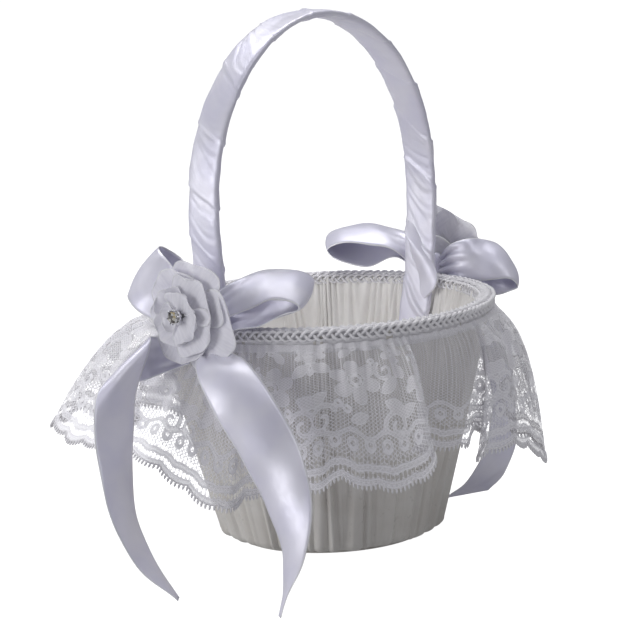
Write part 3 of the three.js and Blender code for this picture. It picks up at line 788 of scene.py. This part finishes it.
# One repeat of the lace, in mm from its middle and up from the hem.
LACE_FLOWERS = [  # place, size, petals, turn
    ((-19, 41), 12.5, 6, 0.3), ((21, 33), 10.5, 5, 0.9), ((4, 58), 8.0, 5, 0.2), ((-39, 61), 6.5, 5, 0.5),
    ((39, 54), 7.5, 6, 0.1),
]
LACE_LEAVES = [  # place of the stalk end, length, width, lean in degrees
    ((-6, 34), 13, 6.5, 35), ((-5, 30), 12, 6, -25), ((-33, 34), 11, 6, 200), ((-31, 46), 12, 6, 140),
    ((9, 40), 11, 5.5, 120), ((31, 42), 10, 5, 60), ((33, 29), 10, 5.5, -20), ((12, 25), 10, 5, 190),
    ((-26, 56), 10, 5, 60), ((14, 62), 10, 5, 30), ((-8, 62), 9, 4.5, 150), ((27, 56), 9, 5, 160),
    ((-14, 24), 9, 4.5, 200), ((40, 40), 8, 4.5, 90),
]
LACE_SCROLLS = [  # middle, radius, turns, start, way round
    ((-3, 46), 6, 1.1, 2.2, 1), ((34, 19), 6.5, 1.2, 2.6, -1), ((-36, 22), 7, 1.2, 0.4, 1),
    ((0, 19.5), 6.5, 1.2, 3.4, -1), ((17, 49), 4.5, 1.0, 5.0, 1), ((-12, 69), 4, 1.0, 5.0, -1),
]
LACE_RINGS = [(-28, 28), (-24, 26), (27, 24), (6, 51), (-10, 53), (11, 33), (-41, 48), (41, 64), (-19, 64)]
REPEAT = 86
EDGE_WAVE = 8


def lace_pattern(along, up, plain):
    """Signed distance in mm to the dense motifs (inside below zero), and to the open lines. Every
    second repeat is mirrored, and the plain stretch has no motifs."""
    length = len(along) * LACE_STEP
    repeat = length / (2 * round(length / (2 * REPEAT)))
    side = np.where(np.mod(np.floor(along / repeat), 2) < 1, 1, -1)
    x = (np.mod(along, repeat) - repeat / 2) * side
    shapes = [flower(x, up, *place) for place in LACE_FLOWERS]
    shapes += [leaf(x, up, *place) for place in LACE_LEAVES]
    shapes += [stroke(x, up, spiral(*place), 1.7) for place in LACE_SCROLLS]
    shapes += [np.abs(circle(x, up, at, 1.5)) - 0.4 for at in LACE_RINGS]
    in_plain = np.minimum(along - plain[0], plain[1] - along)
    motifs = np.maximum(np.minimum.reduce(shapes), np.minimum(in_plain, 1))
    wave = 0.7 * np.sin(TAU * along / EDGE_WAVE)
    scroll = np.abs(up - 16.0 - 1.6 * np.sin(TAU * along / (2 * EDGE_WAVE))) - 0.75
    rings = np.abs(circle(np.mod(along, EDGE_WAVE) - EDGE_WAVE / 2, up, (0, 12.2), 1.9)) - 0.5
    line = np.abs(up - 5.0 - wave * 0.4) - 0.8
    dense = np.minimum.reduce([motifs, scroll, rings, line, up - 1.5, 66 - up])
    slots = np.minimum(np.abs(up - 2.9 - wave * 0.25), np.abs(up - 7.3 - wave * 0.6)) - 0.45
    return dense, slots


PICOT_PITCH = 1.9
PICOT_LENGTH = 2.3
PICOT_SIZES = (0.4, 0.5, 0.54, 0.45, 0.18)


def picots(grid):
    """A cord along the hem, and the small tapering picots that stand on it."""
    edge = grid[:, -1]
    down = unit(edge - grid[:, -3])
    reach = lengths_along(edge)
    at = np.arange(0, reach[-1], PICOT_PITCH)
    steps = np.linspace(0, PICOT_LENGTH, len(PICOT_SIZES))[:, None]
    parts = [sweep(edge, 0.4)]
    for root, way in zip(at_lengths(edge, reach, at), at_lengths(down, reach, at)):
        parts.append(sweep(root + way * steps, PICOT_SIZES, closed=False, up=(0.3, 0.2, 1)))
    return parts


def lace_flounce():
    """One sheet of lace from the rim to its scalloped hem, with its edge cord and picots."""
    grid, cloth, plain = flounce_grid()
    grid = hem_shape(grid, cloth)
    motif, slots = lace_pattern(cloth[..., 0], cloth[..., 1], plain)
    sheet = make_mesh("lace_flounce_sheet", grid.reshape(-1, 3), grid_quads(*grid.shape[:2], wrap=True),
                      cloth, {"motif": motif, "slot": slots})
    finish_piece(sheet, LACE, "lace_net", "lace_flounce")
    edging = make_mesh("lace_picots", *merge(picots(grid)))
    finish_piece(edging, CORD, "lace_net")


lace_flounce()


# ---- Handle: a flat strip wound with ribbon ----

WRAP_PITCH = 27
WRAP_STEP = 0.5
CREASE_PITCH = 17


def handle_line():
    """Centre line from the near leg's end over the top to the far leg's end."""
    rim_x, rim_height = HANDLE_SPAN - 4.3, 104
    half = [(rim_x + COVER_SLOPE * (z - rim_height), z) for z in (LEG_BOTTOM, 75, 90, rim_height)]
    half += [(69.3, 118), (70.9, 134)]
    for angle in np.radians(np.arange(0, 91, 15)):
        rise = (HANDLE_TOP - SPRING_HEIGHT) * math.sin(angle)
        half.append((HANDLE_SPAN * math.cos(angle), SPRING_HEIGHT + rise))
    near = [(-x, 0, z) for x, z in half]
    far = [(x, 0, z) for x, z in half[-2::-1]]
    return even_steps(smooth_path(near + far, 16), 0.8)


def band_profile(half_width, half_depth, corners):
    """A flat oval at even steps round its girth: places across and in depth, and outward directions."""
    angle = np.linspace(0, TAU, 1441)
    across = np.sign(np.cos(angle)) * np.abs(np.cos(angle)) ** 0.45 * half_width
    depth = np.sign(np.sin(angle)) * np.abs(np.sin(angle)) ** 0.55 * half_depth
    oval = points_of(across, depth)
    reach = lengths_along(oval)
    oval = at_lengths(oval, reach, np.arange(corners) / corners * reach[-1])
    run = unit(np.roll(oval, -1, 0) - np.roll(oval, 1, 0))
    return oval[:, 0], oval[:, 1], points_of(run[:, 1], -run[:, 0])


def overlap_relief(wound, distance, girth, face):
    """Height of the winding over the strip: a raised edge at each overlap, then a soft bulge with
    lengthwise creases."""
    phase, layer = np.mod(wound, 1), np.floor(wound)
    lift = WRAP_STEP * (1 - phase) * smoothstep(distance, 0, 1.3)
    lift = lift + 0.2 * np.exp(-((distance - 1.3) / 0.7) ** 2)
    bulge = 0.55 * ripple(layer / 7.7, 130, [(1.3, 0.6), (2.9, 0.6)]) * np.sin(math.pi * phase) ** 0.5
    lengthwise = phase + 0.15 * np.sin(TAU * girth) + layer * 0.37
    creases = ripple(lengthwise, 140, [(3, 0.06), (5, 0.05), (8, 0.04)])
    return lift + (bulge * 0.8 + creases) * face


def pulled_creases(reach, across, depth, face):
    """Sharp slanted creases, one each CREASE_PITCH, where the ribbon is pulled tight."""
    pulled = (reach - 1.1 * across * np.sign(depth)) / CREASE_PITCH
    pulled = pulled + ripple(pulled / 9, 150, [(1.1, 0.35), (2.3, 0.2)])
    away = np.abs(np.mod(pulled, 1) - 0.5) * CREASE_PITCH
    strength = 0.5 + 0.5 * ripple(np.floor(pulled) / 5.3, 155, [(1.7, 0.6), (3.3, 0.4)])
    return 0.3 * strength * np.exp(-(away / 0.7) ** 2) * face


def handle_wrap():
    """Ribbon wound round the strip: a slanted overlap each pitch, with a soft raised edge."""
    path = handle_line()
    reach = lengths_along(path)[:, None]
    share = reach / reach[-1]
    side = np.array([0.0, 1.0, 0.0])
    outward = np.cross(unit(np.gradient(path, axis=0)), side)
    corners, half_width = 64, BAND_WIDTH / 2 - 0.5
    across, depth, facing = band_profile(half_width, BAND_THICKNESS / 2 - 0.1, corners)
    girth = np.arange(corners) / corners
    wander = ripple(share, 120, [(4.3, 0.09), (9.1, 0.07), (15.7, 0.05)])
    slack = ripple(girth + reach / 90, 124, [(1, 0.02), (2, 0.015)])
    wound = reach / WRAP_PITCH + wander + girth + slack
    distance = np.mod(wound, 1) * WRAP_PITCH * 0.72
    face = 1 - (np.abs(across) / half_width) ** 6
    offset = overlap_relief(wound, distance, girth, face) + pulled_creases(reach, across, depth, face)
    wavy = 1 + ripple(share, 160, [(17, 0.014), (29, 0.012), (41, 0.008)])
    sideways = across * wavy + facing[:, 0] * offset
    out = depth + facing[:, 1] * offset
    grid = path[:, None] + side * sideways[..., None] + outward[:, None] * out[..., None]
    cloth = points_of(girth * 40 + reach * 0.7, 12.2 - distance, np.mod(wound, 1))
    piece = slab("wound_handle", grid.transpose(1, 0, 2), 0.35, wrap=True, cloth=cloth.transpose(1, 0, 2))
    finish_piece(piece, RIBBON, "ribbon_satin", "handle_wrap")


# A station of a ribbon is its centre, the direction across it, and its width. These are the last
# turn of the winding, folded to a point inside the leg.
WRAP_END = [
    (69.9, 4.0, 129.0, 0.0, 0.78, 0.62, 7), (67.6, 1.0, 121.0, -0.1, 0.8, 0.6, 15),
    (66.3, -4.0, 113.0, 0.0, 0.78, 0.62, 20), (65.6, -5.0, 104.0, 0.2, 0.9, 0.4, 16),
    (64.6, -1.5, 96.0, 0.2, 0.97, 0.1, 10), (63.6, 3.2, 87.0, 0.2, 0.97, 0.0, 1.5),
]


def ribbon_grid(stations, columns=18, steps=14):
    """Centre grid of a ribbon through its stations, its outward directions, the places across it
    from -1 to 1, and its cloth."""
    rows = np.array(stations, dtype=float)
    rows[:, 3:6] = unit(rows[:, 3:6])
    rows = smooth_path(rows, steps)
    centre, across, width = rows[:, :3], unit(rows[:, 3:6]), rows[:, 6]
    out = unit(np.cross(np.gradient(centre, axis=0), across))
    q = np.linspace(-1, 1, columns)[None, :]
    grid = centre[:, None] + across[:, None] * (q * width[:, None] / 2)[..., None]
    return grid, out, q, points_of(lengths_along(centre)[:, None], q * 12.3, 0)


def wrap_end():
    """The folded end of the winding, inside the far leg."""
    grid, out, q, cloth = ribbon_grid(WRAP_END)
    grid = grid - out[:, None] * (0.5 * (1 - q ** 2))[..., None]
    piece = slab("wound_handle_end", grid, 0.35, cloth=cloth)
    finish_piece(piece, RIBBON, "ribbon_satin")


handle_wrap()
wrap_end()


# ---- Bows: ribbon loops, tails and knots ----

RIBBONS = {
    "near_front_loop": [
        (-79, -5, 106.5, 0.1, 0, 1, 11), (-72.5, -16, 111, 0.66, 0.41, 0.63, 17),
        (-63, -24, 111, 0.82, 0.47, 0.32, 24), (-56, -32, 113.5, 0.86, 0.49, 0.13, 25),
        (-51, -37, 118, 0.87, 0.39, 0.29, 25), (-54, -32, 122, 0.85, 0.4, 0.35, 25),
        (-60, -23.5, 122, 0.74, 0.55, 0.39, 24), (-71.5, -15.5, 118, 0.5, 0.4, 0.75, 17),
        (-80.5, -5, 111, 0.1, 0, 1, 11),
    ],
    "near_back_loop": [
        (-80.5, 5, 110, 0.2, 0, 1, 11), (-79.5, 13, 113.5, 0.45, -0.3, 0.8, 17),
        (-80.5, 22, 120, 0.5, -0.35, 0.8, 24), (-79, 30, 125, 0.45, -0.39, 0.8, 25),
        (-75, 35, 126.5, 0.43, -0.42, 0.8, 25), (-69.5, 36, 125, 0.45, -0.44, 0.78, 25),
        (-68, 28, 121, 0.45, -0.5, 0.74, 24), (-72.5, 15, 115.5, 0.41, -0.45, 0.8, 17),
        (-78.5, 5, 109, 0.1, 0, 1, 11),
    ],
    "far_front_loop": [
        (79, -5, 106.5, 0.1, 0, 1, 11), (80, -14, 108, 0.1, 0.3, 0.95, 17),
        (84, -22, 106, 0.2, 0.4, 0.9, 22), (90, -30, 104, 0.5, 0.66, 0.56, 23),
        (95, -33, 104.5, 0.56, 0.7, 0.45, 23), (89, -31, 111, 0.44, 0.66, 0.6, 23),
        (80, -22, 112, 0.05, 0.35, 0.92, 20), (77.5, -12, 111, 0.05, 0.2, 0.97, 15),
        (77.2, -5, 108, 0.1, 0, 1, 10),
    ],
    "far_back_loop": [
        (79, 5, 106.5, 0.1, 0, 1, 11), (76, 17, 116, 0.75, 0.4, 0.52, 17),
        (70, 29, 113.5, 0.84, 0.35, 0.41, 24), (65, 42, 115.5, 0.87, 0.4, 0.3, 25),
        (64, 51, 118, 0.8, 0.57, 0.17, 25), (66, 43, 121.5, 0.88, 0.46, 0.16, 25),
        (70, 30, 122, 0.84, 0.47, 0.27, 24), (75, 16, 118.5, 0.81, 0.43, 0.39, 18),
        (77.5, 5, 111, 0.1, 0, 1, 11),
    ],
    "near_back_tail": [
        (-80, 3, 94.5, 0.1, -0.3, 0.95, 10), (-83, 9.5, 94, 0.2, -0.25, 0.93, 15),
        (-89.5, 20, 92, 0.3, -0.05, 0.95, 19), (-105, 16, 93, 0.85, -0.2, 0.5, 25),
        (-117, 13.5, 79, 1, 0, 0.05, 25), (-125, 7, 59, 0.98, 0.19, 0, 25),
        (-130, 0, 39, 0.94, 0.34, 0, 25), (-130, -10, 19, 0.86, 0.51, 0.1, 20),
        (-126, -26, 1.5, 0.81, 0.57, 0.05, 5),
    ],
    "near_front_tail": [
        (-80.5, -6, 96, 0.3, -0.9, 0.2, 9), (-84.5, -14, 95, 0.6, -0.75, 0.15, 16),
        (-91, -25, 91, 0.66, -0.73, 0.2, 22), (-94, -38, 79, 0.57, -0.77, 0.28, 25),
        (-93, -51, 60, 0.44, -0.85, 0.3, 25), (-94, -61, 39, 0.05, -0.99, 0.15, 25),
        (-101, -68, 20, -0.4, -0.91, 0, 20), (-122, -79, 1.5, -0.67, -0.74, 0, 5),
    ],
    "far_front_tail": [
        (80.5, -6, 96, 0.2, -0.95, 0.2, 9), (88, -11, 93, 0.4, -0.9, 0.1, 16),
        (97, -14, 80, 0.85, -0.4, 0, 20), (101, -18, 60, 0.97, 0.1, 0, 23),
        (101, -20, 40, 0.95, 0.2, 0, 25), (97, -20, 21, 0.94, 0.05, 0, 25),
        (88, -18, 8, 0.9, -0.15, 0, 25), (76, -16, 2, 0.88, -0.3, 0, 24),
    ],
    "far_back_tail": [
        (80.5, 6, 96, 0.2, 0.95, 0.2, 9), (89, 12, 93, 0.4, 0.9, 0.1, 16),
        (101, 20, 80, 0.35, 0.93, 0, 22), (108, 27, 60, 0.3, 0.95, 0, 25),
        (109, 33, 40, 0.3, 0.95, 0, 25), (106, 37, 21, 0.3, 0.95, 0.1, 20),
        (101, 38, 2, 0.3, 0.95, 0.1, 5),
    ],
}
# How far the middle of each ribbon stands off the line of its edges, in mm.
CUPS = {
    "near_front_loop": -2.2, "near_back_loop": -1.6, "far_front_loop": -2.2, "far_back_loop": 2.2,
    "near_back_tail": 1.6, "near_front_tail": 2.4, "far_front_tail": -1.5, "far_back_tail": 1.5,
}


def bow_ribbon(name, seed):
    """A satin ribbon, cupped across, with soft pleats where the knot gathers it."""
    grid, out, q, cloth = ribbon_grid(RIBBONS[name])
    reach = cloth[:, :1, 0]
    total = reach[-1, 0]
    is_tail = name.endswith("tail")
    ends = [reach] if is_tail else [reach, total - reach]
    near_knot = sum(np.exp(-(end / 11) ** 2) for end in ends)
    open_part = 1 - np.clip(near_knot, 0, 1)
    cut_end = smoothstep(total - reach, 0, 26) if is_tail else 1
    depth = CUPS[name] * (1 - q ** 2) * open_part * cut_end
    depth = depth + 1.5 * near_knot * np.cos(q * 3.3 * math.pi + 0.6)
    depth = depth + 0.35 * ripple(reach / total + 0.08 * q, seed, [(2.7, 1), (5.3, 0.6)]) * open_part
    piece = slab(name + "_ribbon", grid + out[:, None] * depth[..., None], 0.35, cloth=cloth)
    finish_piece(piece, RIBBON, "ribbon_satin", name)


def bow_knot(side):
    """The ribbon drawn round the middle of the bow, with lengthwise creases."""
    low, high = box_mm(side + "_bow_knot")
    centre, half = (low + high) / 2, (high - low) / 2
    around, rows = 64, 30
    angle = round_steps(around) * TAU
    lean = np.linspace(-math.pi / 2 + 0.02, math.pi / 2 - 0.02, rows)
    crease = 1 + 0.05 * np.cos(angle * 9 + 1.2 * np.sin(lean * 2))
    girth = np.cos(lean) ** 0.6 * crease
    z = half[2] * np.sin(lean)
    grid = points_of(half[0] * 1.15 * girth * np.cos(angle), half[1] * girth * np.sin(angle), z) + centre
    piece = make_mesh(side + "_bow_band", grid.reshape(-1, 3), grid_quads(around, rows, wrap=True),
                      points_of(z, angle * 2, 0))
    finish_piece(piece, RIBBON, "ribbon_satin", side + "_bow_knot")


for side in ("near", "far"):
    bow_knot(side)
for number, ribbon in enumerate(RIBBONS):
    bow_ribbon(ribbon, 200 + 7 * number)


# ---- Flowers: felt disc, three whorls of petals, claw setting and stone ----
# A whorl: petals, root, tip, half width, root height, rise, turn.

WHORLS = {
    "outer": (5, 3.0, 21.5, 12.5, 0.9, 5.5, 0.12),
    "middle": (4, 2.6, 15.5, 9.5, 3.8, 5.6, 0.8),
    "inner": (3, 2.2, 9.6, 6.8, 6.4, 3.4, 0.2),
}
# Centre, the way it faces, how much longer its petals are towards +Y, and how much flatter those
# towards -Y are.
FLOWERS = {
    "near": ((-83.4, 0, 112), (-1, 0, 0), -0.3, 0.9),
    "far": ((83.6, 0, 113), (0.93, 0, 0.37), 0.0, 0.0),
}


def flower_axes(side):
    """The flower's centre and its three directions: sideways, across and outward."""
    centre, facing = FLOWERS[side][:2]
    outward = unit(np.array(facing, dtype=float))
    sideways = np.array([0.0, 1.0, 0.0])
    return np.array(centre, dtype=float), np.stack([sideways, np.cross(outward, sideways), outward])


def petal_grid(side, whorl, index, seed):
    """One petal: narrow at the root, cupped, with a curled and lightly ruffled edge."""
    count, root, tip, half_width, height, rise, turn = WHORLS[whorl]
    longer_back, flatter_front = FLOWERS[side][2:]
    random = np.random.default_rng(seed)
    longer, lift, lean = random.uniform(1.0, 1.15), random.uniform(-0.8, 1.0), random.uniform(-0.1, 0.1)
    point = random.uniform(0.0, 0.12)
    spin = turn + index * TAU / count + lean
    longer += longer_back * math.cos(spin)
    rise *= 1 + flatter_front * min(0, math.cos(spin))
    v = np.linspace(0, 1, 34)[:, None]
    q = np.linspace(-1, 1, 31)[None, :]
    swell = np.sin(math.pi * (0.07 + 0.79 * v ** 0.85)) ** 0.7
    width = half_width * 1.12 * longer
    reach = root + (tip - root) * longer * (v - (0.3 - point) * q ** 2 * v ** 3)
    across = width * swell * q
    bowl = rise * (v ** 2) + (0.2 + 0.35 * v) * width * 0.5 * (q ** 2) * (1 - 0.55 * v)
    ruffle = 0.7 * np.maximum(np.abs(q) ** 3, v ** 6) * np.sin(q * 4.5 + v * 5 + seed)
    curl = -3.0 * np.clip(v - 0.72, 0, 1) ** 1.5 * 4 * (0.6 + 0.3 * lift) - 0.8 * np.abs(q) ** 8 * v
    crease = -0.6 * np.exp(-(q / 0.14) ** 2) * (1 - v) - 0.25 * np.cos(q * 9) * (1 - v)
    level = height + bowl + ruffle + curl + crease + lift * v
    x = reach * math.cos(spin) - across * math.sin(spin)
    y = reach * math.sin(spin) + across * math.cos(spin)
    return points_of(x, y, level), points_of(reach, across, np.maximum(np.abs(q), v))


def petals(side):
    """Three whorls of petals, each petal its own sheet."""
    centre, axes = flower_axes(side)
    for row, whorl in enumerate(WHORLS):
        for index in range(WHORLS[whorl][0]):
            seed = 300 + 40 * (side == "far") + 10 * row + index
            local, cloth = petal_grid(side, whorl, index, seed)
            name = f"{side}_{whorl}_petal_{index + 1}"
            piece = slab(name + "_cloth", centre + local @ axes, 0.28, cloth=cloth)
            finish_piece(piece, PETAL, "petal_organza", name)


def felt_disc(side):
    """The disc that joins the flower to its bow."""
    profile = [(0, -1), (9.4, -1), (9.9, -0.8), (10, -0.5), (9.9, -0.2), (9.4, 0), (0, 0)]
    piece = turned_mesh(side + "_felt_disc", profile, 48, *flower_axes(side))
    finish_piece(piece, FELT, "felt", side + "_flower_backing")


def claw_setting(side):
    """A cup on a stem, with six claws bent over the stone."""
    centre, axes = flower_axes(side)
    profile = [(0, 0.4), (1.3, 0.4), (1.3, 6.8), (2.2, 7.4), (3.0, 8.2), (3.2, 9.2), (3.1, 9.4),
               (2.8, 9.2), (2.5, 8.7), (0, 8.5)]
    cup = turned_mesh(side + "_claw_cup", profile, 48, centre, axes)
    radius, height = np.array([(3.1, 8.4), (3.35, 9.6), (3.2, 10.6), (2.6, 11.1)]).T
    up = axes[0] + 0.3 * axes[1]
    parts = []
    for index in range(6):
        path = smooth_path(turned_grid(index / 6 + 0.2 / TAU, radius, height), 4)
        parts.append(sweep(centre + path @ axes, np.linspace(0.45, 0.3, len(path)), 8, closed=False, up=up))
    claws = make_mesh(side + "_claws", *merge(parts))
    finish_piece(cup, SILVER, "silver_metal", side + "_stone_setting")
    finish_piece(claws, SILVER, "silver_metal")


def cut_stone(side):
    """Round brilliant: rings of corners from the point under the girdle up to the table, joined by
    triangles, each second ring turned by half a facet."""
    centre, axes = flower_axes(side)
    rings = [(0.02, 9.0, 0.0), (2.75, 10.35, 0.5), (2.85, 10.6, 0.0), (2.2, 11.2, 0.5), (1.55, 11.6, 0.0)]
    sides = 8
    steps = round_steps(sides)[:, 0]
    points = [turned_grid(steps + shift / sides, radius, height) for radius, height, shift in rings]
    faces = []
    for ring, (lower, upper) in enumerate(zip(rings[:-1], rings[1:])):
        for k in range(sides):
            a, b = ring * sides + k, ring * sides + (k + 1) % sides
            c, d = a + sides, b + sides
            faces += [(a, b, c), (b, d, c)] if lower[2] < upper[2] else [(a, d, c), (a, b, d)]
    top = len(rings) * sides
    points.append([(0, 0, rings[-1][1])])
    faces += [(top - sides + k, top - sides + (k + 1) % sides, top) for k in range(sides)]
    piece = make_mesh(side + "_brilliant", centre + np.concatenate(points) @ axes, faces, smooth=False)
    finish_piece(piece, CRYSTAL, "crystal", side + "_stone")


for side in ("near", "far"):
    felt_disc(side)
    petals(side)
    claw_setting(side)
    cut_stone(side)


# ---- CAD pieces that keep their shape ----

def dress_node(node, material):
    """Gives a CAD node its material."""
    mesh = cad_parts[node].data
    mesh.materials.clear()
    mesh.materials.append(material)


dress_node("tub", TUB)
dress_node("handle_core", CORE)
for side in ("near", "far"):
    for row in ("lower", "upper"):
        dress_node(f"{side}_{row}_rivet", BRASS)


# ---- Studio: paper floor, soft lights, camera ----

def studio_floor():
    size, level = 3000, -0.4
    corners = [(x, y, level) for x, y in ((-size, -size), (size, -size), (size, size), (-size, size))]
    floor = make_mesh("paper_floor", corners, [(0, 1, 2, 3)])
    floor.data.materials.append(studio_paper())


def soft_light(name, place, size, power):
    """A square light that faces the basket's middle."""
    light = bpy.data.lights.new(name, "AREA")
    light.shape = "RECTANGLE"
    light.size = light.size_y = size
    light.energy = power
    lamp = bpy.data.objects.new(name, light)
    lamp.location = place
    lamp.rotation_euler = (Vector((0, 0, 0.1)) - Vector(place)).to_track_quat("-Z", "Y").to_euler()
    bpy.context.scene.collection.objects.link(lamp)


def studio_world():
    """White behind the object, and a dim even light on it."""
    world = bpy.data.worlds.new("studio")
    world.use_nodes = True
    nodes, links = world.node_tree.nodes, world.node_tree.links
    dim, white = nodes["Background"], nodes.new("ShaderNodeBackground")
    for light, color, strength in ((dim, (0.93, 0.94, 1.0, 1), 0.2), (white, (1, 1, 1, 1), 1.0)):
        light.inputs["Color"].default_value = color
        light.inputs["Strength"].default_value = strength
    mix = nodes.new("ShaderNodeMixShader")
    links.new(nodes.new("ShaderNodeLightPath").outputs["Is Camera Ray"], mix.inputs[0])
    links.new(dim.outputs[0], mix.inputs[1])
    links.new(white.outputs[0], mix.inputs[2])
    links.new(mix.outputs[0], nodes["World Output"].inputs["Surface"])
    bpy.context.scene.world = world


def camera():
    """The view: a little above the rim, from the near front, with a slight roll."""
    azimuth, elevation, roll = map(math.radians, (-47.8, 9.97, -2.83))
    distance = 1.3
    back = Vector((math.sin(azimuth) * math.cos(elevation), -math.cos(azimuth) * math.cos(elevation),
                   math.sin(elevation)))
    right = Vector((math.cos(azimuth), math.sin(azimuth), 0))
    up = back.cross(right)
    target = Vector((0, 0, 0.0995)) - 0.00482 * right
    rolled_right = right * math.cos(roll) + up * math.sin(roll)
    rolled_up = up * math.cos(roll) - right * math.sin(roll)
    lens = bpy.data.cameras.new("camera")
    lens.lens = 169.7
    lens.sensor_width = 36
    lens.clip_end = 20
    holder = bpy.data.objects.new("camera", lens)
    turn = Matrix((rolled_right, rolled_up, back)).transposed().to_4x4()
    holder.matrix_world = Matrix.Translation(target + back * distance) @ turn
    bpy.context.scene.collection.objects.link(holder)
    bpy.context.scene.camera = holder


studio_floor()
studio_world()
soft_light("overhead", (0.2, 0.25, 1.05), 0.7, 6.5)
soft_light("left", (-1.05, 0.5, 0.3), 0.7, 6)
soft_light("front", (-0.1, -0.8, 1.1), 0.5, 2.4)
camera()

bpy.context.scene.view_settings.view_transform = "Standard"
bpy.context.scene.cycles.transparent_max_bounces = 24
